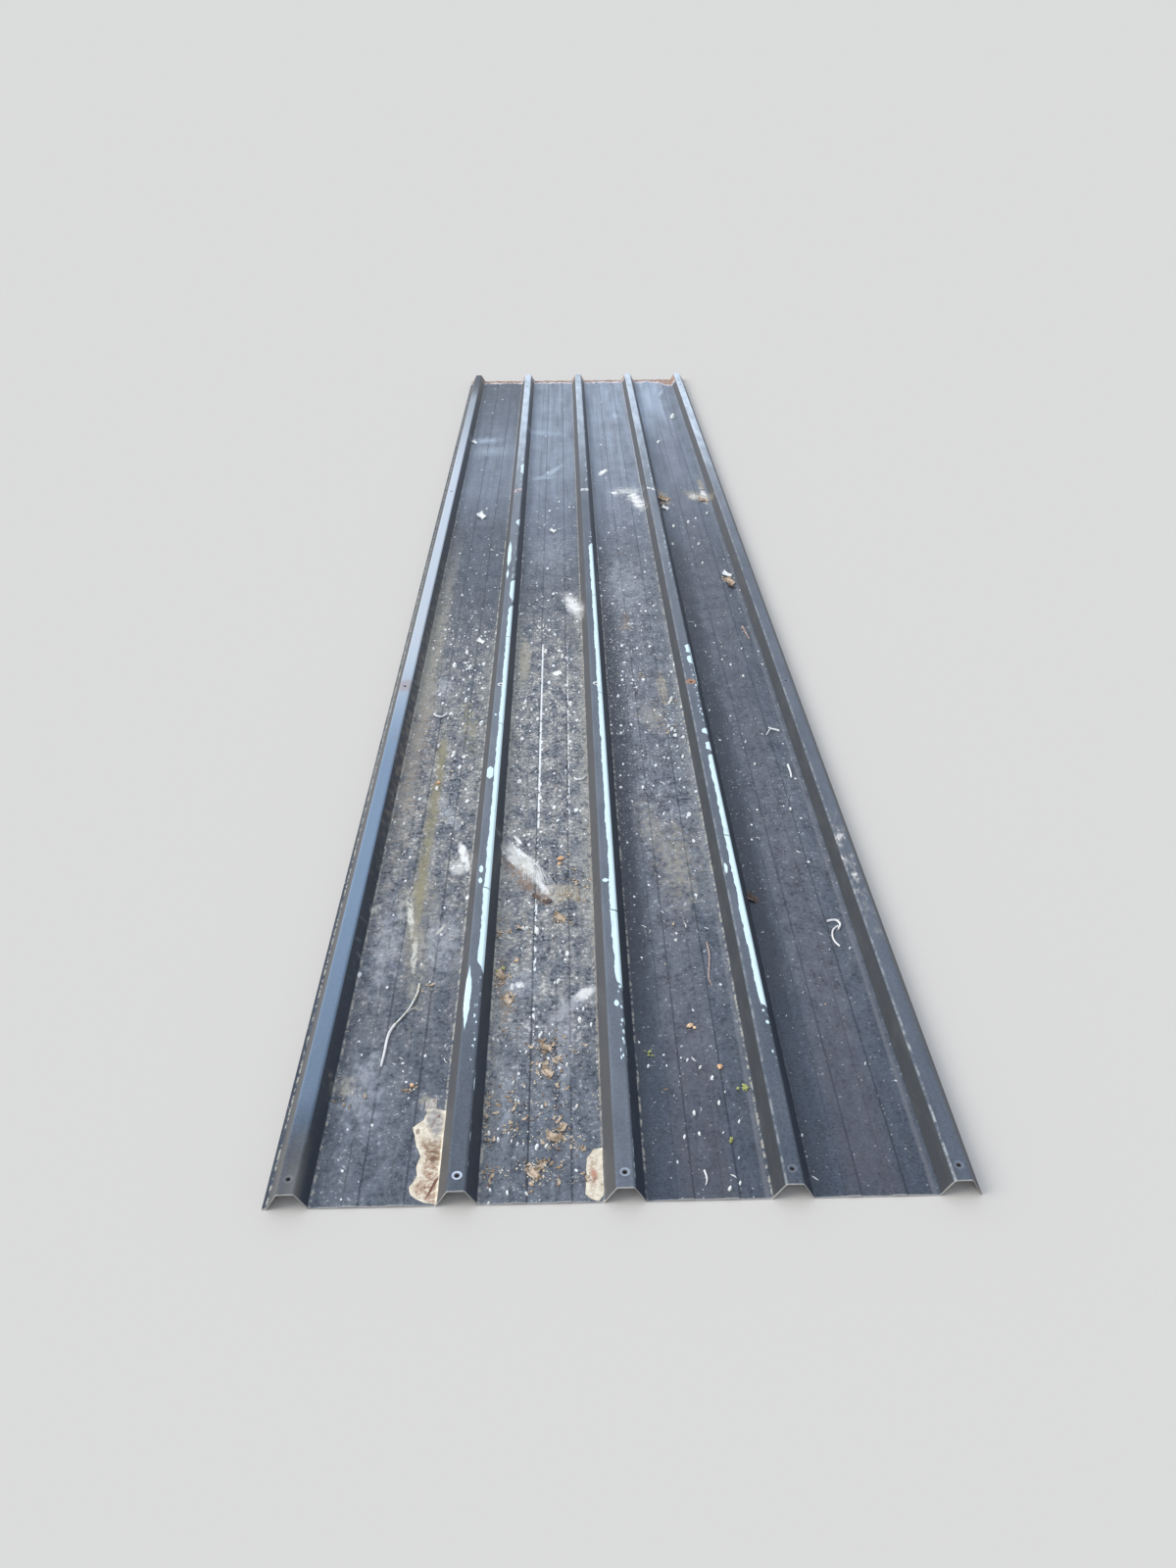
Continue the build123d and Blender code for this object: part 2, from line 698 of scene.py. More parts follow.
def soil_shade_and_sheen(coat):
    """Dust that dried on the pans: an uneven veil, thickest on the left three, gritty and crusted. Painted
    shade lies along each pan's left side and a painted sky sheen over the far half.
    """
    level = coat.by_pan({
        1: [(0.0, 0.24), (0.50, 0.31), (0.85, 0.48), (1.10, 0.53), (1.65, 0.46), (1.95, 0.30), (2.25, 0.13)],
        2: [(0.0, 0.26), (0.15, 0.31), (0.45, 0.52), (1.65, 0.55), (1.95, 0.43), (2.25, 0.25), (3.00, 0.18)],
        3: [(0.0, 0.05), (0.20, 0.10), (0.50, 0.20), (1.05, 0.38), (1.65, 0.36), (2.25, 0.34), (3.00, 0.26)],
        4: [(0.0, 0.02), (0.50, 0.14), (1.05, 0.18), (1.65, 0.12), (2.25, 0.15), (3.00, 0.12)],
    })
    # Each pan's left side, by the rib's right foot, gets thinner dust and a painted shade, between 0.1 and 3
    # m along
    pan_left_side = coat.from_pan.rise(-0.030, -0.072) * coat.across.rise(0.000, 0.020)
    level = level * (1 - pan_left_side * 0.8)
    shaded = pan_left_side * coat.inside([(0.10, 3.00)]).rise(0.0, 0.60)
    coat.cover(shaded * coat.pan * 0.74, tone(32, 38, 48))
    grain = coat.noise(115, detail=3.0, rough=0.80)
    patch = coat.noise(34, stretch=(1, 1.9, 1), rough=0.6)
    cloud = coat.noise(13, stretch=(1, 2.2, 1), detail=3.0)
    thick = cloud.rise(0.28, 0.72) * 0.40 + patch.rise(0.39, 0.60) * 0.75 + grain.rise(0.32, 0.68) * 0.90
    brown = coat.across.rise(0.10, -0.10) * coat.inside([(0.10, 2.50)]).rise(0.0, 0.50)
    brown = brown * patch.rise(0.34, 0.56)
    coat.cover(level * thick * coat.pan * 1.05, brown.blend(tone(144, 147, 152), tone(154, 151, 146)))
    crust = (grain + patch * 0.40 + level * 0.24).rise(0.90, 0.97) * coat.pan
    coat.cover(crust * 0.85, brown.blend(tone(190, 192, 196), tone(204, 199, 188)))
    bare = coat.profile([(0.3, 0.28), (1.0, 0.60), (2.3, 0.66), (3.0, 0.30)])
    gaps = (grain + patch * 0.45).rise(0.655, 0.575) * coat.pan * (level * 1.1 + bare)
    coat.cover(gaps * 0.85, tone(32, 34, 40))
    bank = coat.across.rise(-0.418, -0.440) * coat.profile([
        (0.80, 0.0), (1.10, 0.45), (1.50, 0.80), (1.90, 0.80), (2.20, 0.60), (2.60, 0.35), (2.75, 0.0),
    ])
    coat.cover(bank * patch.rise(0.30, 0.56) * coat.pan * 0.80, tone(150, 148, 141))
    # Painted sky sheen: a pale blue veil over the far half of the pans, cloudy and streaky, held back by a
    # painted shade on the fourth pan's right edge
    streak = coat.noise(46, stretch=(1, 26, 1), detail=2.0)
    painted_sky_sheen = coat.by_pan({
        1: [(2.85, 0.0), (3.25, 0.34), (3.90, 0.40), (4.20, 0.16), (4.80, 0.02)],
        2: [(2.50, 0.0), (3.20, 0.38), (4.10, 0.62), (4.80, 0.58)],
        3: [(2.50, 0.0), (3.25, 0.42), (4.00, 0.64), (4.80, 0.78)],
        4: [(2.60, 0.0), (3.25, 0.26), (3.90, 0.38), (4.30, 0.78), (4.90, 0.92)],
    })
    shade = coat.across.within(0.455, 0.020, 0.050) * coat.along.rise(3.8, 4.2) * 0.5
    uneven = cloud.rise(0.2, 0.8) * 0.35 + streak.rise(0.30, 0.70) * 0.40 + 0.35
    coat.cover(painted_sky_sheen * uneven * (1 - shade), tone(178, 188, 202))


def grime_and_shade_flanks(coat):
    """Brown-grey dust on the left flanks, which face the weather, darker on ribs 4 and 5 towards the near
    end, and painted shade on the right flanks.
    """
    darker_towards_near_end = coat.across.rise(0.12, 0.14) * coat.along.rise(3.6, 1.2)
    coat.cover(coat.left_flank * 0.85, darker_towards_near_end.blend(tone(86, 84, 82), tone(62, 62, 61)))
    # Painted shade: the right flanks darkened as if in shadow
    coat.cover(coat.right_flank * 0.70, tone(32, 38, 46))
    runs = coat.noise(42, stretch=(1, 4, 1), detail=4.0, rough=0.65)
    coat.cover(coat.left_flank * runs.rise(0.46, 0.66) * 0.13, tone(112, 106, 98))
    coat.cover(coat.right_flank * runs.rise(0.50, 0.68) * 0.16, tone(72, 80, 92))


def chalk_and_highlight_crowns(coat):
    """Chalky fading on the crowns, worst at the far half, where a painted sky highlight is mixed into it; a
    painted sky reflection all along the first rib's crown; a thin pale line on the right ribs' left bends.
    """
    mottle = coat.noise(30, stretch=(1, 4, 1))
    # Chalky fading with a painted sky highlight, paler and bluer over the far half
    amount = coat.by_rib({
        2: [(0.0, 0.06), (0.6, 0.22), (1.2, 0.30), (2.4, 0.22), (3.1, 0.36), (3.8, 0.72), (4.6, 0.90)],
        3: [(0.0, 0.18), (0.6, 0.22), (1.2, 0.20), (2.4, 0.12), (3.1, 0.18), (3.8, 0.48), (4.6, 0.76)],
        4: [(0.0, 0.04), (0.6, 0.16), (1.6, 0.18), (2.4, 0.28), (3.1, 0.36), (3.8, 0.52), (4.4, 0.86)],
        5: [(0.0, 0.10), (0.6, 0.14), (1.6, 0.16), (2.4, 0.14), (3.1, 0.36), (3.8, 0.78), (4.4, 0.88)],
    })
    chalk_and_highlight_tone = coat.along.rise(3.0, 4.2).blend(tone(176, 181, 187), tone(208, 217, 224))
    coat.cover(coat.crown * amount * (mottle.rise(0.30, 0.70) * 0.4 + 0.8), chalk_and_highlight_tone)
    scuffed = coat.crown * coat.on_rib(5) * coat.inside([(0.56, 0.98)]).rise(-0.03, 0.10)
    blotchy = coat.noise(52, stretch=(1, 2.6, 1), detail=5.0, rough=0.75)
    coat.cover(scuffed * blotchy.rise(0.47, 0.58) * 0.60, tone(158, 154, 150))
    coat.cover(scuffed * blotchy.rise(0.57, 0.63) * 0.85, tone(226, 222, 214))
    # Painted sky reflection: a pale blue band all along the first rib's crown, paler from 1.2 m on
    blue = coat.on_rib(1) * coat.profile([
        (0.08, 0.0), (0.20, 0.34), (0.70, 0.52), (1.30, 0.58), (1.70, 0.84), (3.4, 0.92), (4.4, 0.55),
    ])
    pale = coat.along.rise(1.2, 1.9).blend(tone(148, 173, 198), tone(204, 211, 217))
    coat.cover(coat.crown * blue * coat.along.rise(4.9, 4.5), pale)
    # A thin pale broken line along the crowns' left bends on ribs 4 and 5, stronger near the near end of rib
    # 5
    left_bend = abs(coat.from_rib + crown_width / 2).rise(0.0026, 0.0008) * coat.height.rise(0.028, 0.031)
    pale_line_strength = coat.across.rise(0.10, 0.14) * 0.5 + coat.on_rib(5) * coat.along.rise(0.45, 0.25) * 0.4
    coat.cover(left_bend * coat.tatter.rise(-0.15, 0.25) * pale_line_strength, tone(168, 170, 168))


def draw_dirt_and_fold_shade(coat):
    """Dirt that settled along the folds of the swages and the feet of the ribs, and painted shade along the
    swage folds.
    """
    foot = rib_base_width / 2
    lime_line = -0.1436
    thin_line = -0.0750
    past_foot = abs(coat.from_rib) - foot
    dusty = coat.noise(80, rough=0.7)
    line = past_foot.within(0.0010, 0.0010, 0.0016) * coat.pan * dusty.rise(0.46, 0.58)
    coat.cover(line * coat.across.rise(0.30, 0.20) * 0.8, tone(184, 178, 162))
    bank = past_foot.rise(0.034, 0.004) * coat.pan
    beige = bank * any_of([
        coat.across.within(-0.196, 0.022, 0.006) * coat.profile([
            (0.05, 0.30), (0.40, 0.75), (0.90, 0.40), (1.40, 0.60), (1.75, 1.0), (1.95, 0.9), (2.10, 0.0),
        ]),
        coat.across.within(-0.045, 0.018, 0.006) * coat.inside([(0.50, 2.40)]).rise(0.0, 0.20),
        coat.across.within(0.200, 0.022, 0.004) * coat.inside([(0.60, 1.90)]).rise(0.0, 0.30) * 0.6,
        coat.across.within(-0.296, 0.022, 0.006) * coat.inside([(0.95, 2.05)]).rise(0.0, 0.30) * 0.7,
    ])
    coat.cover(beige * dusty.rise(0.42, 0.58) * 0.80, tone(172, 168, 156))
    paler = coat.from_rib.within(-foot - 0.007, 0.002, 0.004) * coat.pan * coat.across.rise(0.12, 0.16)
    coat.cover(paler * 0.30, tone(150, 150, 152))
    # Painted shade: dark lines along the folds of the swages, stronger by the lime line nearer the near end
    fold = abs(abs(abs(coat.from_pan) - swage_spacing / 2) - swage_width / 2 + 0.001)
    fold_shade_strength = abs(coat.across - lime_line).rise(0.0040, 0.0030) * coat.along.rise(1.1, 0.9) * 0.5 + 0.4
    coat.cover(fold.rise(0.0026, 0.0004) * fold_shade_strength * coat.pan, tone(30, 34, 42))
    broken = coat.noise(120, stretch=(1, 2, 1), detail=2.0)
    white = abs(coat.across - lime_line).rise(0.0030, 0.0016) * any_of([
        coat.inside([(0.975, 1.92)]).rise(0.0, 0.02) * broken.rise(0.36, 0.44),
        coat.inside([(0.30, 0.975), (1.92, 2.10)]).rise(0.0, 0.05) * broken.rise(0.56, 0.60),
    ])
    thin = abs(coat.across - thin_line).rise(0.0022, 0.0010) * coat.inside([(0.95, 1.95)]).rise(0.0, 0.10)
    coat.cover(white.most(thin * broken.rise(0.48, 0.52) * 0.8) * coat.pan, tone(236, 236, 232))


def sprinkle(coat):
    """Pale flecks everywhere, crowded over the middle of the first three pans."""
    crowd = coat.by_pan({
        1: [(0.0, 0.12), (0.60, 0.24), (1.20, 0.55), (1.90, 0.90), (2.20, 0.25), (3.4, 0.04)],
        2: [(0.0, 0.30), (0.50, 0.50), (1.10, 0.80), (2.00, 1.10), (2.40, 0.28), (3.4, 0.06)],
        3: [(0.0, 0.06), (0.60, 0.12), (1.20, 0.60), (1.90, 1.05), (2.40, 0.40), (3.4, 0.06)],
        4: [(0.0, 0.00), (0.60, 0.03), (1.30, 0.16), (2.40, 0.12), (3.4, 0.02)],
    })
    flat = coat.pan * 0.95 + 0.05
    patchy = crowd * (coat.noise(9, detail=3.0).rise(0.36, 0.60) * 0.8 + 0.2)
    dust = coat.specks(0.0075, patchy * 0.90 + 0.06, 0.0005, 0.0015)
    coat.cover(dust * flat * 0.80, coat.along.rise(0.4, 1.2).blend(tone(168, 168, 168), tone(208, 206, 200)))
    flecks = coat.specks(0.0165, patchy * 0.50, 0.0008, 0.0026, stretch=(1, 1.6), turn=12)
    larger = coat.along.rise(0.3, 1.4) * coat.across.rise(0.30, 0.18)
    drops = coat.specks(0.0250, patchy * larger * 0.50, 0.0018, 0.0044, stretch=(1, 2.0), turn=-8)
    coat.cover(flecks.most(drops) * flat * 0.95, tone(240, 239, 233))
    dashes = coat.specks(0.0170, patchy * 0.34 + 0.008, 0.0006, 0.0012, stretch=(1, 4), turn=-22)
    worms = coat.specks(0.0190, patchy * 0.30 + 0.006, 0.0007, 0.0013, stretch=(1, 5), turn=48)
    coat.cover(dashes.most(worms) * flat * 0.95, tone(228, 224, 214))
    dark = coat.specks(0.0150, patchy * 0.30 + 0.15, 0.0006, 0.0021)
    coat.cover(dark * flat * 0.7, tone(44, 38, 34))


# Stains, and the painted sky reflections, by kind: the middle's distance from the middle rib and from the
# near end, width, length, degrees of turn, then how ragged and how soft the edge is, and the strength
white_smears = [
    (-0.300, 0.890, 0.018, 0.074, 14, 0.8, 0.4, 1),
    (-0.290, 0.850, 0.011, 0.042, 0, 0.6, 0.4, 0.9),
    (-0.306, 0.843, 0.036, 0.044, 0, 0.7, 0.5, 0.5),
    (-0.306, 0.8500, 0.040, 0.007, 0, 0.5, 0.25, 0.9),
    (-0.167, 0.846, 0.032, 0.150, 27, 1.0, 0.8, 0.9),
    (-0.194, 0.866, 0.017, 0.066, 32, 0.9, 0.4, 0.9),
    (-0.131, 0.772, 0.015, 0.084, 24, 1.0, 0.6, 0.8),
    (-0.187, 0.941, 0.009, 0.030, 28, 0.7, 0.25, 1),
    (-0.103, 1.728, 0.024, 0.026, 0, 0.3, 0.25, 1),
    (-0.054, 2.185, 0.036, 0.140, 10, 0.8, 0.8, 1),
    (0.192, 3.150, 0.040, 0.190, 8, 1.3, 0.6, 1),
    (0.160, 3.250, 0.070, 0.090, -60, 1.6, 0.7, 0.5),
    (0.114, 3.236, 0.024, 0.030, 0, 0.3, 0.25, 1),
    (0.076, 3.490, 0.022, 0.070, -24, 0.9, 0.4, 1),
    (0.450, 3.190, 0.022, 0.150, 0, 1.0, 0.4, 1),
    (0.418, 3.180, 0.050, 0.060, 40, 1.3, 0.5, 0.8),
    (-0.170, 0.479, 0.016, 0.018, 0, 0.5, 0.25, 1),
    (-0.184, 0.474, 0.008, 0.018, 0, 0.5, 0.25, 0.8),
    (-0.052, 0.452, 0.022, 0.040, -44, 0.9, 0.5, 0.9),
]
dust_hazes = [
    (-0.088, 0.330, 0.027, 0.220, 0, 0.5, 0.10, 0.55),
    (-0.076, 0.420, 0.024, 0.110, -40, 1.0, 0.3, 0.8),
    (-0.170, 0.480, 0.056, 0.080, 0, 1.3, 0.6, 0.8),
    (-0.184, 0.180, 0.022, 0.130, 0, 1.2, 0.8, 0.8),
    (-0.420, 0.230, 0.060, 0.150, 0, 1.7, 0.6, 0.8),
    (-0.430, 0.590, 0.060, 0.220, 0, 1.8, 0.6, 0.8),
    (-0.320, 0.600, 0.060, 0.160, 0, 1.8, 0.6, 0.8),
    (-0.345, 1.050, 0.024, 0.130, 20, 1.3, 0.6, 1),
    (-0.405, 1.650, 0.030, 0.110, 0, 1.3, 0.6, 1),
    (0.100, 2.330, 0.120, 0.330, 0, 1.8, 0.8, 0.7),
    (-0.120, 2.600, 0.120, 0.300, 0, 1.6, 0.8, 0.6),
]
# Painted sky reflections over the far end of the pans, given as the stains are
far_sky_reflections = [
    (-0.410, 3.950, 0.090, 0.060, 8, 1.2, 1.4, 1),
    (-0.385, 3.790, 0.100, 0.090, 0, 1.2, 1.4, 0.6),
    (-0.170, 4.060, 0.110, 0.050, -20, 1.2, 1.4, 0.8),
    (-0.122, 3.510, 0.026, 0.150, -24, 0.6, 0.8, 1),
    (-0.160, 3.430, 0.080, 0.040, 20, 0.6, 0.8, 0.8),
    (0.160, 4.330, 0.020, 0.090, 0, 0.5, 0.8, 1),
    (0.330, 4.650, 0.070, 0.500, 0, 0.7, 1.0, 0.7),
    (0.400, 4.730, 0.016, 0.120, -12, 0.5, 0.8, 1),
]
beige_dirt = [
    (-0.450, 1.800, 0.044, 1.350, 0, 1.6, 0.9, 0.7),
    (-0.194, 1.810, 0.030, 0.260, 0, 1.0, 0.4, 1),
    (0.150, 0.850, 0.070, 0.240, 0, 1.8, 0.8, 0.6),
    (0.110, 0.960, 0.050, 0.200, 10, 1.8, 0.8, 0.5),
    (-0.372, 0.620, 0.034, 0.300, 4, 1.5, 0.7, 0.7),
    (-0.380, 0.745, 0.060, 0.110, 0, 1.4, 0.7, 0.7),
    (-0.450, 0.240, 0.040, 0.040, 0, 1.3, 0.6, 0.7),
    (0.176, 1.640, 0.026, 0.160, 0, 1.1, 0.5, 1),
    (0.140, 1.480, 0.060, 0.120, 0, 1.5, 0.6, 0.5),
    (-0.085, 0.745, 0.080, 0.060, 0, 1.1, 0.4, 1),
    (0.295, 3.180, 0.040, 0.150, 12, 1.1, 0.5, 1),
    (0.428, 3.180, 0.070, 0.120, 30, 1.3, 0.5, 1),
    (0.452, 3.320, 0.022, 0.150, 0, 1.1, 0.5, 1),
    (-0.312, 0.203, 0.018, 0.032, 24, 0.8, 0.4, 0.8),
]
brown_dirt = [
    (-0.188, 0.832, 0.034, 0.090, 26, 1.2, 0.7, 1),
    (-0.163, 0.786, 0.032, 0.090, 24, 1.2, 0.5, 1),
    (-0.126, 0.728, 0.022, 0.034, 0, 1.0, 0.4, 1),
    (-0.206, 0.500, 0.018, 0.080, 0, 1.3, 0.4, 1),
    (-0.192, 0.430, 0.024, 0.070, 0, 1.3, 0.4, 0.8),
    (-0.440, 1.250, 0.070, 0.560, 0, 2.0, 0.8, 0.35),
    (0.100, 2.070, 0.020, 0.120, 0, 1.3, 0.5, 0.7),
]
crusts = [
    (-0.392, 0.690, 0.011, 0.110, 8, 1.2, 0.5, 1),
    (-0.371, 0.560, 0.010, 0.100, 4, 1.4, 0.5, 0.8),
    (-0.328, 0.640, 0.007, 0.034, -24, 0.8, 0.5, 1),
    (-0.462, 0.710, 0.020, 0.030, -20, 1.1, 0.5, 0.8),
]

# A thin line of algae runs along the first pan, this far from the middle rib
slime_line = -0.381


def stain(coat):
    """The larger marks, each where it lies, and painted sky reflections over the far end."""
    streaky = coat.noise(150, stretch=(1, 3, 1), detail=3.0, rough=0.6)
    smears = any_of(coat.blots(white_smears))
    coat.cover(smears * (streaky.rise(0.30, 0.52) * 0.45 + 0.55), tone(247, 244, 235))
    hazes = any_of(coat.blots(dust_hazes))
    film = coat.noise(110, stretch=(1, 2, 1), rough=0.65)
    coat.cover(hazes * (film.rise(0.36, 0.62) * 0.6 + 0.3) * 0.62, tone(190, 192, 197))
    # Painted sky reflections: pale blue-white patches over the far end
    coat.cover(any_of(coat.blots(far_sky_reflections)) * 0.55, tone(196, 208, 220))
    coat.cover(any_of(coat.blots(beige_dirt)) * film.rise(0.30, 0.56) * 0.75, tone(180, 170, 150))
    coat.cover(any_of(coat.blots(brown_dirt)) * film.rise(0.36, 0.56) * 0.72, tone(142, 116, 96))
    slime = (coat.across - slime_line + coat.tatter * 0.010).within(0.0, 0.003, 0.016)
    slime = slime * coat.along.within(1.02, 0.28, 0.22) * coat.noise(44, stretch=(1, 3, 1)).rise(0.28, 0.58)
    ochre = coat.blot(-0.325, 1.440, 0.034, 0.230, 6, ragged=1.4, soft=0.6) * film.rise(0.35, 0.60)
    coat.cover(slime.most(ochre * 0.8) * 0.72, tone(148, 138, 104))
    coat.cover(any_of(coat.blots(crusts)) * film.rise(0.34, 0.52) * 0.85, tone(224, 219, 204))


# Each torn patch: where its right side is, and the outline of its left side, as the distance from the
# near end and how far it reaches left
first_patch_right = -0.2800
first_patch = [
    (0.004, 0.000), (0.006, 0.018), (0.012, 0.030), (0.018, 0.038), (0.026, 0.043), (0.036, 0.044),
    (0.046, 0.038), (0.056, 0.034), (0.072, 0.037), (0.093, 0.033), (0.102, 0.036), (0.112, 0.041),
    (0.133, 0.046), (0.143, 0.050), (0.150, 0.050), (0.157, 0.043), (0.164, 0.035), (0.180, 0.031),
    (0.187, 0.034), (0.204, 0.035), (0.210, 0.028), (0.213, 0.000),
]
second_patch_right = -0.0316
second_patch = [
    (0.002, 0.000), (0.004, 0.012), (0.009, 0.022), (0.015, 0.028), (0.022, 0.028), (0.030, 0.026),
    (0.070, 0.0250), (0.084, 0.0235), (0.092, 0.018), (0.100, 0.013), (0.103, 0.000),
]

# Places where the primer is scratched through, given as the stains are
gouges = [
    (-0.2850, 0.046, 0.0055, 0.022, -20, 0.8, 0.3, 1),
    (-0.2910, 0.030, 0.0040, 0.034, -20, 0.7, 0.3, 1),
    (-0.2930, 0.087, 0.010, 0.013, 0, 1.3, 0.5, 0.8),
    (-0.2950, 0.101, 0.011, 0.0035, 0, 0.8, 0.4, 1),
    (-0.2990, 0.158, 0.004, 0.022, -14, 0.9, 0.5, 0.5),
    (-0.2910, 0.172, 0.004, 0.006, 0, 0.6, 0.5, 0.8),
    (-0.3215, 0.141, 0.006, 0.011, 0, 0.8, 0.5, 0.7),
    (-0.3020, 0.206, 0.005, 0.008, 0, 0.8, 0.5, 0.5),
]


def torn_depth(coat, outline, right, inset):
    """How far a place is inside a torn patch, whose straight right side stands back by the inset."""
    longest, widest = 0.250, 0.050
    shares = [(place / longest, reach / widest) for place, reach in outline]
    reach = coat.start.node("ValToRGB", {"stops": shares}, {0: coat.along / longest}, "Alpha") * widest
    from_left = coat.across - right + reach + coat.tatter * 0.0030
    from_right = right - coat.across - inset - coat.tatter * 0.0008
    return from_left, from_right, from_left.least(from_right)


def tear_patches(coat):
    """Two places by a rib's foot where the coat came away in a sheet, down to its rough cream primer."""
    first_inset = coat.along.rise(0.183, 0.190) * 0.017
    second_inset = (0.014 - coat.along).most(0.0) * 0.7
    from_left, from_right, first = torn_depth(coat, first_patch, first_patch_right, first_inset)
    _, _, second = torn_depth(coat, second_patch, second_patch_right, second_inset)
    depth = first.most(second)
    coat.cover(depth.rise(-0.0024, 0.0) * 0.65, tone(96, 86, 78))
    rough = coat.noise(130, rough=0.72)
    primer = rough.rise(0.36, 0.62).blend(tone(242, 231, 208), tone(216, 200, 174))
    coat.cover(depth.rise(-0.0005, 0.0005), primer, 0.0004)
    inner = from_left.rise(0.004, 0.012) * from_right.rise(0.0020, 0.0050)
    worn = inner * coat.along.rise(0.138, 0.108)
    brown = inner * coat.along.within(0.102, 0.012, 0.016) * from_left.rise(0.008, 0.014)
    pink = coat.blot(-0.0470, 0.052, 0.012, 0.072, ragged=1.0, soft=0.5) * 0.6
    bits = rough.rise(0.40, 0.54)
    inside = depth.rise(0.0, 0.001)
    coat.cover(worn.most(pink) * inside * (bits * 0.65 + 0.25), tone(184, 152, 128))
    coat.cover(brown * inside * (bits * 0.5 + 0.45), tone(160, 136, 108))
    greyed = coat.blot(-0.2955, 0.160, 0.026, 0.062, 8, ragged=0.8, soft=0.4)
    greyed = greyed.most(coat.along.rise(0.184, 0.190)) * inside
    coat.cover(greyed * (bits * 0.3 + 0.6), tone(158, 152, 148))
    gouged = any_of(coat.blots(gouges) + [rough.rise(0.58, 0.66) * worn * 0.8]) * inside
    coat.cover(gouged, tone(118, 82, 66))
    coat.cover(coat.blot(-0.0455, 0.046, 0.008, 0.026, ragged=1.2, soft=0.5) * 0.8, tone(196, 134, 108))


# The strips lie between these distances from the middle of a rib, over its right-hand bend
peel_left_edge = 0.0028
peel_right_edge = 0.0150

# Long strips: the rib, how far a strip tapers towards its ends, and where along the sheet it starts and ends
long_strips = [
    (2, 0.040, [(0.478, 2.135), (2.150, 2.330), (2.800, 2.890), (3.380, 3.530)]),
    (3, 0.040, [(0.425, 2.640)]),
    (4, 0.012, [(0.375, 1.240), (1.252, 1.300), (1.330, 1.365), (1.712, 1.770), (1.780, 1.840)]),
]

# Small peelings: the rib, the peeling's distance from its middle and half its width, then as above
small_peelings = [
    (2, -0.0098, 0.0058, 0.060, [(0.338, 0.496), (2.330, 2.405), (2.430, 2.650)]),
    (2, -0.0065, 0.0072, 0.012, [(1.143, 1.197)]),
    (2, -0.0058, 0.0040, 0.008, [(0.783, 0.808), (0.746, 0.767), (1.440, 1.452)]),
    (3, -0.0040, 0.0060, 0.005, [(0.745, 0.757)]),
    (3, 0.0030, 0.0040, 0.006, [(0.385, 0.402)]),
    (4, 0.0165, 0.0016, 0.008, [(1.600, 1.850)]),
    (4, -0.0080, 0.0030, 0.012, [(0.766, 0.804)]),
]

# Thin bridges of coat that are left across the strips: the rib, and how far along it
strip_breaks = [(2, 0.736), (2, 1.405), (2, 1.905), (3, 0.660), (3, 1.560), (3, 2.196), (4, 0.905)]


def peel_strips(coat):
    """Strips where the coat has peeled off the right-hand bend of a crown, down to its pale primer, with a
    painted shadow along the long strips' edges.
    """
    waver = coat.tatter * 0.0030 + (coat.noise(17, detail=2.0) - 0.5) * 0.007
    masks = []
    for rib, taper, stretches in long_strips:
        x = coat.across - (rib - 3) * rib_pitch
        grown = (coat.inside(stretches) + coat.tatter * 0.004).rise(-0.002, taper)
        width = peel_right_edge - peel_left_edge
        left = x - (peel_right_edge + 0.001) + grown * (width + 0.001) + waver
        masks.append(left.rise(-0.0003, 0.0003) * x.rise(peel_right_edge + 0.0005, peel_right_edge))
    for rib, middle_x, half, taper, stretches in small_peelings:
        x = coat.across - (rib - 3) * rib_pitch - middle_x
        grown = (coat.inside(stretches) + coat.tatter * 0.003).rise(-taper / 3, taper) * (half + 0.0006)
        masks.append((grown - 0.0006 - abs(x + coat.tatter * 0.0020)).rise(-0.0003, 0.0003))
    bare = any_of(masks)
    along = coat.along + coat.tatter * 0.006 + coat.from_rib * 0.4
    breaks = any_of([
        coat.on_rib(rib) * along.within(place, 0.0010, 0.0010) for rib, place in strip_breaks
    ])
    bare = bare * (1 - breaks)
    crumbs = coat.specks(0.0080, 0.55, 0.0008, 0.0030, stretch=(1, 1.8))
    edge_band = coat.from_rib.within(0.0095, 0.0045, 0.001) * coat.height.rise(0.030, 0.031)
    inner_ribs = coat.across.rise(0.30, 0.27) * coat.across.rise(-0.40, -0.30)
    fringe = coat.inside([(0.250, 0.480), (1.30, 1.72), (2.13, 2.75), (3.20, 3.60)]).rise(-0.02, 0.02)
    bare = bare.most(crumbs * edge_band * inner_ribs * fringe * coat.tatter.rise(-0.3, 0.1))
    # Painted shadow: a dark line along the torn edges of the long strips
    rim = any_of([mask.rise(0.0, 0.4) for mask in masks[:len(long_strips)]])
    coat.cover(rim * 0.5, tone(30, 34, 40))
    coat.cover(bare, tone(222, 240, 240))
    grain = coat.noise(160, stretch=(1, 5, 1), detail=3.0)
    coat.cover(bare * grain.rise(0.54, 0.80) * 0.4, tone(150, 172, 178))


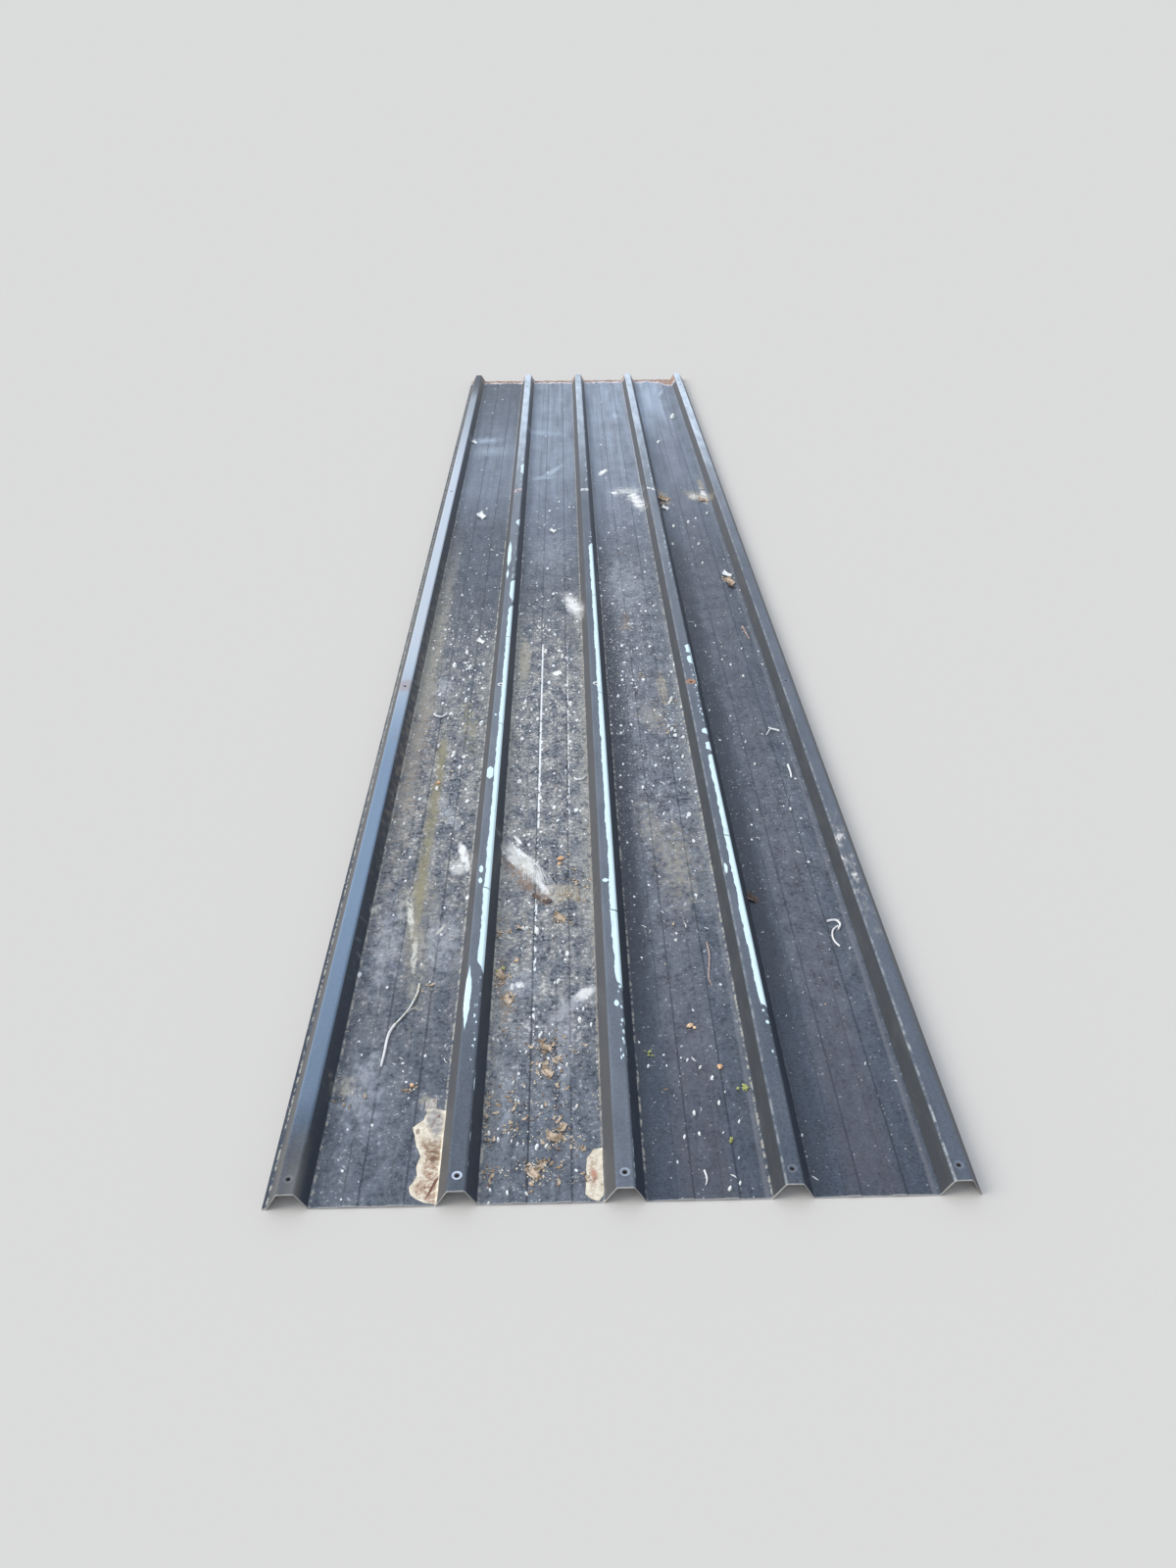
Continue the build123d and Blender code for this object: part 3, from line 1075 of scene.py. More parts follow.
def mark_screws(coat):
    """Washer rings, pale or rusty, round the holes where screws have been."""
    row = (coat.along - first_row_inset).wrap(purlin_spacing)
    from_hole = coat.start.math("SQRT", row * row + coat.from_rib * coat.from_rib)
    washer = from_hole.within(0.0052, 0.0024, 0.0006)
    rim = from_hole.within(0.0064, 0.0011, 0.0006)
    first_row = coat.along.rise(0.30, 0.20)
    second_row = coat.along.within(first_row_inset + purlin_spacing, 0.20, 0.10)
    third_row = coat.along.within(first_row_inset + purlin_spacing * 2, 0.20, 0.10)
    coat.cover(washer * 0.25, tone(150, 158, 168))
    coat.cover(washer * first_row * coat.on_rib(2) * 0.40, tone(150, 158, 170))
    coat.cover(rim * first_row * coat.on_rib(2) * 0.85, tone(205, 214, 226))
    coat.cover(rim * first_row * coat.on_rib(3) * 0.60, tone(170, 178, 188))
    white = from_hole.rise(0.0092, 0.0085) * second_row * (coat.on_rib(2) + coat.on_rib(3))
    coat.cover(white, tone(226, 226, 222))
    rust = (from_hole + coat.tatter * 0.003).rise(0.018, 0.009) * second_row * coat.on_rib(4)
    coat.cover(rust * 0.8, tone(178, 130, 98))
    speckled = (from_hole + coat.tatter * 0.012).rise(0.045, 0.020) * second_row * coat.on_rib(1) * coat.crown
    coat.cover(speckled * 0.6, tone(168, 150, 142))
    third_row_bars = (
        (2, 0.014, tone(196, 178, 176)), (3, 0.012, tone(222, 220, 218)), (4, 0.008, tone(236, 234, 230)),
    )
    for rib, half, colour in third_row_bars:
        bar = (abs(row + coat.from_rib * (rib - 3)) + coat.tatter * 0.008).rise(half + 0.004, half - 0.002)
        coat.cover(coat.crown * third_row * coat.on_rib(rib) * bar * 0.85, colour)
    dusty = (coat.along + coat.tatter * 0.05).rise(0.150, 0.030) * coat.height.rise(0.014, 0.031)
    coat.cover(dusty * coat.on_rib(1) * (coat.from_rib.rise(-0.012, 0.012) * 0.3 + 0.3), tone(120, 116, 108))
    coat.cover(from_hole.rise(0.0042, 0.0034), tone(52, 42, 36))


def wear_ends(coat):
    """A thin worn line round the near cut edge, and rust under flaking coat at the far one."""
    worn = (coat.along + coat.tatter * 0.0016).rise(0.0028, 0.0016)
    coat.cover(worn * 0.7, tone(176, 172, 164))
    low = coat.height.rise(0.030, 0.022)
    bite = coat.across.rise(0.380, 0.455) * 0.070 + (coat.noise(22, detail=2.0) - 0.5) * 0.080
    from_far = (sheet_length - coat.along) - coat.tatter * 0.020 - bite
    flaked = from_far.rise(0.066, 0.056) * coat.noise(70, detail=3.0).rise(0.40, 0.50) * low
    coat.cover(flaked * 0.9, tone(224, 212, 206))
    rust = from_far.rise(0.038, 0.026) * low
    rusty = coat.noise(90, rough=0.7)
    coat.cover(rust * 0.95, rusty.rise(0.36, 0.62).blend(tone(118, 84, 62), tone(196, 164, 144)), -0.0002)
    dirty = coat.on_rib(1) * coat.along.rise(4.50, 4.75) * rusty.rise(0.30, 0.62)
    coat.cover(dirty * (1 - coat.pan) * 0.8, tone(70, 70, 62))


# The underside and the cut edges

def backing_coat():
    """The thin pale backing coat under the sheet, scuffed and rusting from the far end."""
    back = SheetFinish("backing_coat", tone(150, 152, 152), 0.55)
    back.tint(back.noise(6).rise(0.3, 0.7), (1.10, 1.10, 1.10, 1), (0.86, 0.86, 0.86, 1))
    scuffs = back.noise(80, stretch=(1, 14, 1), detail=4.0).rise(0.60, 0.70)
    back.cover(scuffs * 0.4, tone(196, 198, 200))
    damp = back.noise(11, detail=5.0).rise(0.52, 0.66)
    back.cover(damp * 0.5, tone(112, 108, 96))
    rust = (sheet_length - back.along + back.tatter * 0.06).rise(0.08, 0.0)
    back.cover(rust * 0.8, tone(140, 84, 56))
    back.relief = back.noise(400, detail=2.0) * 0.00004
    return back.close()


def cut_steel():
    """The sheared edge: zinc and bare steel, browned, with the worst rust at the far end."""
    edge = SheetFinish("cut_steel", tone(146, 143, 136), 0.5)
    edge.cover(edge.noise(90, detail=4.0).rise(0.45, 0.62) * 0.7, tone(140, 112, 88))
    edge.cover(edge.along.rise(4.6, 4.9) * 0.85, tone(150, 88, 56))
    edge.relief = edge.noise(700, detail=2.0) * 0.00005
    return edge.close()


# Litter that lies in the pans: each kind is modelled once, about a metre across, and strewn at its size

def pattern_ready(name):
    """Lift the pattern so that it stands on the floor, and take it off the table."""
    pattern = bpy.context.active_object
    pattern.name = name
    lowest = min(vertex.co.z for vertex in pattern.data.vertices)
    pattern.data.transform(Matrix.Translation((0, 0, -lowest)))
    bpy.context.collection.objects.unlink(pattern)
    return pattern


def crumb_pattern(seed):
    """A lump of grit or a bird's crumb: a rounded stone with its corners knocked about."""
    bpy.ops.mesh.primitive_ico_sphere_add(subdivisions=1, radius=0.5, location=(0, 0, 0))
    start_editing(bpy.context.active_object)
    bpy.ops.transform.vertex_random(offset=0.16, seed=seed)
    bpy.ops.transform.resize(value=(1, 0.8, 0.55))
    stop_editing()
    return pattern_ready("crumb")


def fleck_pattern(seed):
    """A flat chip of dried lime, its upper rim worn back."""
    bpy.ops.mesh.primitive_cylinder_add(vertices=7, radius=0.5, depth=0.26, location=(0, 0, 0))
    start_editing(bpy.context.active_object)
    pick("faces", lambda face: face.normal.z > 0.9)
    bpy.ops.transform.resize(value=(0.66, 0.66, 1))
    select_whole()
    bpy.ops.transform.vertex_random(offset=0.09, seed=seed)
    bpy.ops.transform.resize(value=(0.62, 1.12, 1.5))
    stop_editing()
    return pattern_ready("fleck")


def scrap_pattern(seed):
    """A torn scrap of dead leaf, curled up at two ends."""
    bpy.ops.mesh.primitive_circle_add(vertices=9, radius=0.5, fill_type="NGON", location=(0, 0, 0))
    scrap = bpy.context.active_object
    start_editing(scrap)
    select_whole()
    bpy.ops.mesh.poke()
    select_whole()
    bpy.ops.transform.vertex_random(offset=0.13, seed=seed)
    bpy.ops.transform.resize(value=(0.55, 1.3, 1))
    pick("verts", lambda corner: abs(corner.co.y) > 0.35)
    bpy.ops.transform.translate(value=(0, 0, 0.20))
    stop_editing()
    apply_modifier(scrap, "SOLIDIFY", thickness=0.05)
    return pattern_ready("scrap")


def leaf_pattern():
    """A whole dead leaf: pointed at both ends, folded down its rib and curled up at its tip."""
    bpy.ops.mesh.primitive_grid_add(x_subdivisions=4, y_subdivisions=8, size=1, location=(0, 0, 0))
    leaf = bpy.context.active_object
    start_editing(leaf)
    for step in range(9):
        y = -0.5 + step / 8
        pick("verts", lambda corner: abs(corner.co.y - y) < 0.01)
        width = 0.06 + 0.52 * sin(pi * (step / 8) ** 0.8)
        bpy.ops.transform.resize(value=(width, 1, 1), center_override=(0, y, 0))
        bpy.ops.transform.translate(value=(0.10 * sin(step * 0.9), 0, 0.30 * (step / 8) ** 3))
    pick("verts", lambda corner: abs(corner.co.x - 0.10 * sin((corner.co.y + 0.5) * 7.2)) > 0.12)
    bpy.ops.transform.translate(value=(0, 0, 0.11))
    select_whole()
    bpy.ops.transform.vertex_random(offset=0.025, seed=4)
    stop_editing()
    apply_modifier(leaf, "SOLIDIFY", thickness=0.02)
    return pattern_ready("leaf")


def run_tube(name, route, radius, tip, sides=1, steps=4):
    """A round stalk along a smooth route, thinning to this share of its radius at the tip."""
    bpy.ops.curve.primitive_nurbs_path_add(radius=1, location=(0, 0, 0))
    stalk = bpy.context.active_object
    stalk.name = name
    spline = stalk.data.splines[0]
    spline.points.add(max(0, len(route) - len(spline.points)))
    for number, (knot, place) in enumerate(zip(spline.points, route)):
        knot.co = (*place, 1)
        knot.radius = 1 + (tip - 1) * number / (len(route) - 1)
    spline.order_u = 3
    spline.use_endpoint_u = True
    stalk.data.resolution_u = steps
    stalk.data.bevel_depth = radius
    stalk.data.bevel_resolution = sides
    stalk.data.use_fill_caps = True
    take_up(stalk)
    bpy.ops.object.convert(target="MESH")
    start_editing(stalk)
    select_whole()
    bpy.ops.mesh.remove_doubles(threshold=radius * 0.02)
    face_outward()
    stop_editing()
    return stalk


def curl_pattern(bend):
    """A curled worm of dried lime or a snipped stem, bent to one side."""
    route = [(bend * (1 - (2 * step / 5 - 1) ** 2), step / 5 - 0.5, 0) for step in range(6)]
    run_tube("curl", route, 0.075, 0.6, sides=0, steps=2)
    return pattern_ready("curl")


# Height from which the sheet's surface is felt for, clear of its crowns
well_above = 0.10


def surface_at(sheet, x, y):
    """The point of the sheet's upper face below this place, and the way that it faces."""
    _, place, normal, _ = sheet.ray_cast(Vector((x, y, well_above)), Vector((0, 0, -1)))
    return place, normal


def finish_litter(piece, name, finish):
    piece.name = name
    piece.data.materials.clear()
    piece.data.materials.append(finish)
    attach(piece, "root")


# Bits longer than this lie level, even on the slope of a swage
largest_leaning = 0.0035


def strew(name, finish, patterns, sheet, places):
    """Copy the patterns in turn to their places on the sheet and join the copies into one piece."""
    copies = []
    rests = [surface_at(sheet, middle_rib + across, near_end + along) for across, along, _, _ in places]
    for number, ((_, _, size, turn), (place, normal)) in enumerate(zip(places, rests)):
        pattern = patterns[number % len(patterns)]
        copy = copy_of(pattern)
        stand = Matrix.Translation(place)
        if size < largest_leaning:
            stand = stand @ Vector((0, 0, 1)).rotation_difference(normal).to_matrix().to_4x4()
        stand = stand @ Matrix.Rotation(turn, 4, "Z")
        copy.data.transform(stand @ Matrix.Diagonal((size, size, size, 1)))
        copies.append(copy)
    finish_litter(join(copies), name, finish)


def lay_stalks(name, finish, sheet, stalks):
    """Lay stalks on the sheet, each given by its thickness, its tip's share of it and its route."""
    routes = []
    for thickness, _, route in stalks:
        places = []
        for across, along, *lift in route:
            place, _ = surface_at(sheet, middle_rib + across, near_end + along)
            places.append((place.x, place.y, place.z + thickness / 2 + sum(lift)))
        routes.append(places)
    laid = [run_tube(name, places, stalk[0] / 2, stalk[1]) for places, stalk in zip(routes, stalks)]
    stalks_as_one = join(laid)
    bpy.ops.object.shade_smooth_by_angle(angle=radians(50))
    finish_litter(stalks_as_one, name, finish)


def litter_finish(name, main, other, dark):
    """Dry matter: two tones that change from bit to bit, darker in its grain."""
    finish = Finish(name, tone(*main), 0.7)
    finish.colour = finish.noise(70, detail=1.0).rise(0.40, 0.60).blend(tone(*main), tone(*other))
    grain = finish.noise(420, detail=3.0)
    finish.cover(grain.rise(0.52, 0.66) * 0.7, tone(*dark))
    finish.relief = grain * 0.00015
    return finish.close()


# How far clumps may reach from the middle of a pan, how broadly loose bits are scattered over it, and how
# many of those each pan gets out of a hundred
clump_reach = 0.090
scatter_width = 0.176
pan_shares = (28, 42, 24, 6)


def keep_in_pan(across):
    """The same distance from the middle rib, or the nearest that is clear of the ribs' feet."""
    pan = round((across / rib_pitch) + 0.5) - 0.5
    return min(max(across, pan * rib_pitch - clump_reach), pan * rib_pitch + clump_reach)


def in_pan(number, share):
    """Distance from the middle rib of a place this share of the way over a pan's flat."""
    return (number - 2.5) * rib_pitch + (share - 0.5) * scatter_width


def scatter_places(luck, count, smallest, largest):
    """Places for loose bits, most in the three left pans and about a third of the way along."""
    places = []
    for _ in range(count):
        pan = luck.choices((1, 2, 3, 4), weights=pan_shares)[0]
        size = smallest + (largest - smallest) * luck.random() ** 2.5
        along = luck.triangular(0.03, 3.3, 1.5)
        places.append((in_pan(pan, luck.random()), along, size, luck.uniform(0, 2 * pi)))
    return places


def clump_places(luck, clumps, crowding, smallest, largest):
    """Places for bits that lie together, as many as each clump's number times the crowding."""
    places = []
    for across, along, reach, count in clumps:
        for _ in range(round(count * crowding)):
            size = luck.uniform(smallest, largest)
            x = keep_in_pan(across + luck.gauss(0, reach / 2))
            y = along + luck.gauss(0, reach / 2)
            places.append((x, y, size, luck.uniform(0, 2 * pi)))
    return places


def line_places(luck, lines, smallest, largest):
    """Places for bits strewn along lines."""
    places = []
    for across, start, end, count in lines:
        for _ in range(count):
            along = luck.uniform(start, end)
            places.append((across, along, luck.uniform(smallest, largest), luck.uniform(0, 2 * pi)))
    return places


# The flecks that catch the eye: distance from the middle rib and from the near end, and length, for each pan
noted_flecks = [
    (-0.453, 1.889, 0.013), (-0.431, 1.871, 0.009), (-0.356, 1.861, 0.018), (-0.385, 1.779, 0.020),
    (-0.341, 1.764, 0.018), (-0.385, 1.703, 0.012), (-0.337, 1.708, 0.011), (-0.309, 1.674, 0.009),
    (-0.337, 1.636, 0.011), (-0.322, 1.624, 0.009), (-0.340, 1.575, 0.017), (-0.322, 1.572, 0.008),
    (-0.297, 1.585, 0.012), (-0.326, 1.520, 0.010), (-0.453, 1.498, 0.009), (-0.380, 1.483, 0.009),
    (-0.293, 1.452, 0.018), (-0.392, 1.345, 0.011), (-0.379, 1.150, 0.013), (-0.303, 1.237, 0.010),
    (-0.310, 1.007, 0.010), (-0.351, 1.304, 0.016),

    (-0.062, 0.383, 0.013), (-0.042, 0.373, 0.009), (-0.064, 0.366, 0.006), (-0.055, 0.412, 0.008),
    (-0.099, 0.484, 0.012), (-0.106, 0.482, 0.007), (-0.096, 0.568, 0.007), (-0.141, 0.629, 0.018),
    (-0.111, 0.639, 0.006), (-0.167, 0.639, 0.007), (-0.152, 0.596, 0.006), (-0.174, 0.240, 0.007),
    (-0.169, 0.201, 0.006), (-0.164, 0.199, 0.006), (-0.126, 0.187, 0.007), (-0.070, 0.186, 0.008),
    (-0.133, 0.105, 0.011), (-0.118, 0.107, 0.009), (-0.194, 0.121, 0.009), (-0.173, 0.118, 0.006),
    (-0.163, 0.111, 0.006), (-0.154, 0.111, 0.005), (-0.209, 0.135, 0.009), (-0.178, 0.134, 0.005),
    (-0.169, 0.138, 0.005), (-0.131, 0.277, 0.008), (-0.085, 0.277, 0.008), (-0.132, 0.346, 0.009),
    (-0.154, 0.308, 0.007), (-0.212, 0.342, 0.008), (-0.204, 0.338, 0.006),
    (-0.176, 0.020, 0.008), (-0.202, 0.026, 0.007), (-0.129, 0.353, 0.008), (-0.115, 0.351, 0.006),
    (-0.189, 0.324, 0.006), (-0.088, 1.825, 0.016), (-0.135, 1.861, 0.018), (-0.185, 1.559, 0.017),
    (-0.189, 1.529, 0.012), (-0.168, 1.520, 0.010), (-0.164, 1.605, 0.009), (-0.068, 1.547, 0.018),
    (-0.167, 1.452, 0.008), (-0.195, 1.437, 0.009), (-0.198, 1.263, 0.010), (-0.139, 1.104, 0.011),
    (-0.078, 1.104, 0.008),

    (0.160, 0.186, 0.011), (0.122, 0.125, 0.010), (0.160, 0.125, 0.006), (0.118, 0.167, 0.012),
    (0.188, 0.148, 0.009), (0.155, 0.240, 0.012), (0.173, 0.211, 0.006), (0.118, 0.283, 0.009),
    (0.082, 0.270, 0.006), (0.178, 0.076, 0.006), (0.174, 0.029, 0.009), (0.157, 0.018, 0.012),
    (0.083, 0.069, 0.007), (0.098, 0.118, 0.010), (0.138, 0.266, 0.010), (0.051, 0.271, 0.010),
    (0.196, 1.570, 0.016), (0.189, 1.549, 0.014), (0.184, 1.408, 0.013), (0.177, 1.426, 0.011),
    (0.191, 1.401, 0.010), (0.199, 1.275, 0.012), (0.184, 1.173, 0.009), (0.135, 1.030, 0.010),
    (0.186, 1.015, 0.009),

    (0.283, 0.118, 0.008), (0.283, 0.077, 0.005), (0.452, 0.564, 0.006), (0.288, 1.506, 0.008),
    (0.367, 1.237, 0.009), (0.359, 1.342, 0.007), (0.419, 1.041, 0.009), (0.308, 2.857, 0.016),
    (0.364, 2.898, 0.016), (0.291, 2.684, 0.016), (0.380, 2.684, 0.015), (0.375, 2.510, 0.012),
    (0.395, 2.939, 0.012), (0.441, 2.990, 0.014), (0.375, 1.763, 0.010), (0.400, 1.692, 0.010),
    (0.418, 1.861, 0.009), (0.303, 2.020, 0.009), (0.329, 3.890, 0.022), (0.421, 4.280, 0.034),
]

# Lines of crumbs along the feet of ribs: distance from the middle rib, start, end and number of crumbs
foot_lines = [
    (-0.4655, 0.02, 0.75, 50), (-0.2160, 0.05, 0.75, 60),
    (-0.0340, 0.20, 0.80, 34), (-0.2160, 0.80, 2.00, 40),
]

# Places where leaf crumbs lie together: the clump's middle, its reach and its number of bits
near_clumps = [
    (-0.099, 0.120, 0.026, 26), (-0.138, 0.056, 0.026, 24), (-0.113, 0.064, 0.020, 16),
    (-0.198, 0.056, 0.020, 9), (-0.174, 0.138, 0.014, 9), (-0.208, 0.121, 0.012, 7),
    (-0.119, 0.266, 0.020, 12), (-0.123, 0.322, 0.022, 13), (-0.104, 0.292, 0.012, 9),
    (-0.066, 0.100, 0.016, 6), (-0.056, 0.041, 0.018, 6), (-0.192, 0.362, 0.014, 6),
    (-0.120, 0.180, 0.070, 40), (-0.090, 0.300, 0.060, 30), (-0.200, 0.200, 0.050, 20),
]
farther_clumps = [
    (-0.206, 0.500, 0.024, 18), (-0.191, 0.436, 0.018, 12), (-0.096, 0.660, 0.030, 14),
    (-0.444, 0.214, 0.024, 9), (-0.340, 0.230, 0.010, 5), (-0.340, 0.470, 0.018, 6),
    (0.178, 1.410, 0.026, 10), (0.186, 1.559, 0.034, 12), (0.124, 1.713, 0.020, 8),
    (0.094, 2.020, 0.026, 10), (0.443, 2.385, 0.034, 12), (0.293, 3.165, 0.030, 12),
    (-0.085, 0.745, 0.050, 26), (-0.060, 0.800, 0.050, 20), (-0.195, 0.640, 0.050, 20),
]
moss_clumps = [
    (0.205, 0.219, 0.006, 8), (0.170, 0.110, 0.004, 5), (-0.207, 0.520, 0.012, 6),
    (0.056, 0.300, 0.008, 5),
]

# Pebbles and leaves that lie by themselves: across, along, length and turn
orange_pebbles = [
    (0.129, 0.363, 0.013, 0.4), (0.137, 0.358, 0.008, 2.0), (0.1705, 0.264, 0.012, 1.2),
    (-0.0955, 0.864, 0.016, 0.3), (-0.098, 0.846, 0.010, 1.9), (-0.378, 1.175, 0.011, 0.8),
    (-0.178, 0.545, 0.009, 0.5), (-0.341, 0.236, 0.009, 1.0),
]
dry_leaves = [
    (-0.107, 0.122, 0.030, 0.9), (-0.094, 0.140, 0.024, 2.3), (-0.138, 0.052, 0.026, 0.4),
    (-0.131, 0.062, 0.018, 1.9), (-0.119, 0.260, 0.026, 0.3), (-0.122, 0.318, 0.024, 0.7),
    (-0.206, 0.504, 0.026, 0.2), (-0.191, 0.438, 0.024, 0.1), (-0.098, 0.668, 0.030, 0.6),
    (0.443, 2.345, 0.046, 0.1), (0.293, 3.150, 0.050, 0.5), (0.286, 3.090, 0.036, 2.2),
    (0.440, 3.130, 0.044, 0.9),
]
old_leaves = [
    (0.288, 0.721, 0.030, 0.5), (0.283, 0.731, 0.020, 2.2), (0.445, 2.310, 0.034, 3.0),
    (-0.145, 0.738, 0.018, 0.8), (-0.122, 0.722, 0.020, 1.9),
]
cream_leaves = [
    (-0.323, 1.933, 0.030, 0.4), (-0.378, 2.985, 0.048, 0.1), (-0.459, 3.921, 0.034, 0.2),
    (-0.121, 2.827, 0.028, 0.3), (0.293, 3.052, 0.034, 0.4), (0.441, 2.405, 0.038, 0.4),
]

# Stalks: thickness, its share at the tip, and the route, lifted off the sheet where a third number says so
pale_stalks = [
    (0.0042, 0.8, [
        (-0.353, 0.484), (-0.352, 0.466, 0.001), (-0.358, 0.440, 0.0015), (-0.367, 0.410, 0.001),
        (-0.388, 0.376),
    ]),
    (0.0018, 0.4, [
        (-0.367, 0.410), (-0.362, 0.418, 0.001), (-0.356, 0.421, 0.001), (-0.350, 0.419),
        (-0.344, 0.414),
    ]),
]
white_roots = [
    (0.0056, 0.7, [
        (-0.385, 0.380), (-0.392, 0.366), (-0.395, 0.340, 0.001), (-0.395, 0.310), (-0.397, 0.280),
    ]),
    (0.0046, 0.9, [
        (0.4250, 0.6447), (0.4300, 0.6460), (0.4362, 0.6475), (0.4420, 0.6475), (0.4462, 0.6430),
        (0.4485, 0.6340), (0.4450, 0.6262), (0.4413, 0.6200),
    ]),
    (0.0026, 0.5, [
        (0.4440, 0.6440), (0.4452, 0.6448), (0.4464, 0.6460), (0.4478, 0.6480), (0.4492, 0.6505),
    ]),
    (0.0036, 1.0, [
        (0.4430, 0.6300), (0.4351, 0.6247), (0.4290, 0.6145), (0.4260, 0.6012), (0.4260, 0.5879),
        (0.4290, 0.5777), (0.4341, 0.5695),
    ]),
]
lime_worms = [
    (0.0050, 0.8, [
        (-0.4176, 1.505), (-0.4130, 1.496), (-0.4074, 1.491), (-0.3972, 1.488), (-0.3900, 1.496),
        (-0.3849, 1.508),
    ]),
    (0.0045, 0.7, [
        (-0.0618, 1.186), (-0.0600, 1.181), (-0.0546, 1.179), (-0.0434, 1.181), (-0.0390, 1.188),
        (-0.0360, 1.196),
    ]),
    (0.0050, 0.8, [(0.4443, 1.230), (0.4450, 1.215), (0.4454, 1.201), (0.4448, 1.188), (0.4433, 1.173)]),
    (0.0050, 0.7, [(0.4500, 1.392), (0.4430, 1.398), (0.4380, 1.400), (0.4330, 1.402), (0.4262, 1.409)]),
    (0.0036, 0.7, [(0.4280, 1.401), (0.4250, 1.396), (0.4220, 1.388), (0.4180, 1.380), (0.4150, 1.372)]),
    (0.0034, 0.5, [(0.1223, 0.053), (0.1240, 0.046), (0.1250, 0.038), (0.1240, 0.031), (0.1215, 0.026)]),
]
dry_stems = [
    (0.0028, 0.6, [
        (0.183, 0.588), (0.185, 0.560, 0.001), (0.182, 0.530, 0.001), (0.177, 0.500), (0.176, 0.480),
        (0.180, 0.466),
    ]),
    (0.0050, 0.6, [(0.4400, 2.010), (0.4415, 1.990), (0.4432, 1.970), (0.4455, 1.950), (0.4480, 1.925)]),
]


feather_root = (-0.202, 0.925)
barb_count = 30


def feather_barbs(luck):
    """Barbs of a feather that lies flat, fanned out from its root and curved to one side."""
    root_x, root_y = feather_root
    barbs = []
    for _ in range(barb_count):
        spread = luck.random()
        length = luck.uniform(0.060, 0.150)
        turn = radians(-20 - 26 * spread)
        start_x = root_x + 0.034 * spread + luck.gauss(0, 0.002)
        start_y = root_y - 0.050 * spread + luck.gauss(0, 0.004)
        route = []
        for step in range(5):
            run = length * step / 4
            lean = turn + radians(14) * (step / 4) ** 2
            route.append((start_x - sin(lean) * run, start_y - cos(lean) * run, 0.0012 * sin(pi * step / 4)))
        barbs.append((luck.uniform(0.0008, 0.0015), 0.3, route))
    return barbs


def add_litter(sheet):
    """What fell on the sheet while it lay outdoors."""
    luck = random.Random(20)
    lime = litter_finish("dried_lime", (248, 248, 244), (236, 234, 226), (206, 202, 192))
    cream = litter_finish("cream_crumbs", (228, 220, 202), (184, 170, 150), (108, 92, 78))
    dead_leaf = litter_finish("dead_leaf", (212, 190, 164), (160, 136, 110), (70, 56, 46))
    old_leaf = litter_finish("old_leaf", (128, 104, 92), (92, 74, 66), (46, 38, 36))
    pale_twig = litter_finish("pale_twig", (212, 184, 168), (186, 156, 140), (130, 104, 92))
    straw = litter_finish("straw", (240, 240, 234), (222, 214, 190), (176, 166, 144))
    root = litter_finish("pale_root", (248, 244, 240), (236, 230, 224), (206, 196, 188))
    orange = litter_finish("orange_pebble", (250, 212, 170), (232, 178, 132), (180, 120, 84))
    moss = litter_finish("dry_moss", (186, 190, 118), (150, 148, 88), (96, 94, 56))

    crumbs = [crumb_pattern(seed) for seed in (1, 2, 3)]
    flecks = [fleck_pattern(seed) for seed in (5, 6, 7)]
    scraps = [scrap_pattern(seed) for seed in (8, 9, 10)]
    curls = [curl_pattern(bend) for bend in (0.30, -0.22, 0.12)]

    noted = []
    for across, along, length in noted_flecks:
        small_corner = across > 0 and along < 0.5
        noted.append((across, along, length * (0.75 if small_corner else 0.95), luck.uniform(-0.5, 0.5)))
    strew("noted_flecks", lime, flecks, sheet, noted)
    strew("lime_flecks", lime, flecks, sheet, scatter_places(luck, 300, 0.0020, 0.0080))
    strew("lime_curls", lime, curls, sheet, scatter_places(luck, 80, 0.007, 0.018))
    clumps = near_clumps + farther_clumps
    strew("cream_crumbs", cream, crumbs, sheet, clump_places(luck, clumps, 1.5, 0.0014, 0.0046))
    strew("leaf_scraps", dead_leaf, scraps, sheet, clump_places(luck, clumps, 0.55, 0.003, 0.010))
    strew("dark_scraps", old_leaf, scraps, sheet, clump_places(luck, near_clumps, 0.35, 0.002, 0.006))
    strew("leaf_stalks", cream, curls, sheet, clump_places(luck, clumps, 0.30, 0.005, 0.011))
    strew("loose_crumbs", cream, crumbs, sheet, scatter_places(luck, 260, 0.0014, 0.0045))
    strew("loose_scraps", dead_leaf, scraps, sheet, scatter_places(luck, 30, 0.004, 0.009))
    strew("foot_crumbs", cream, crumbs, sheet, line_places(luck, foot_lines, 0.0014, 0.0036))
    strew("orange_pebbles", orange, crumbs, sheet, orange_pebbles)
    strew("moss_tufts", moss, crumbs, sheet, clump_places(luck, moss_clumps, 1.0, 0.004, 0.008))
    leaf = leaf_pattern()
    strew("dry_leaves", dead_leaf, [leaf], sheet, dry_leaves)
    strew("old_leaves", old_leaf, [leaf], sheet, old_leaves)
    strew("cream_leaves", lime, [leaf], sheet, cream_leaves)
    lay_stalks("pale_stalk", straw, sheet, pale_stalks)
    lay_stalks("white_root", root, sheet, white_roots)
    lay_stalks("lime_worms", lime, sheet, lime_worms)
    lay_stalks("dry_stems", pale_twig, sheet, dry_stems)
    lay_stalks("feather", lime, sheet, feather_barbs(luck))
    for pattern in crumbs + flecks + scraps + curls + [leaf]:
        bpy.data.objects.remove(pattern)


# The camera, at the photograph's height and tilt

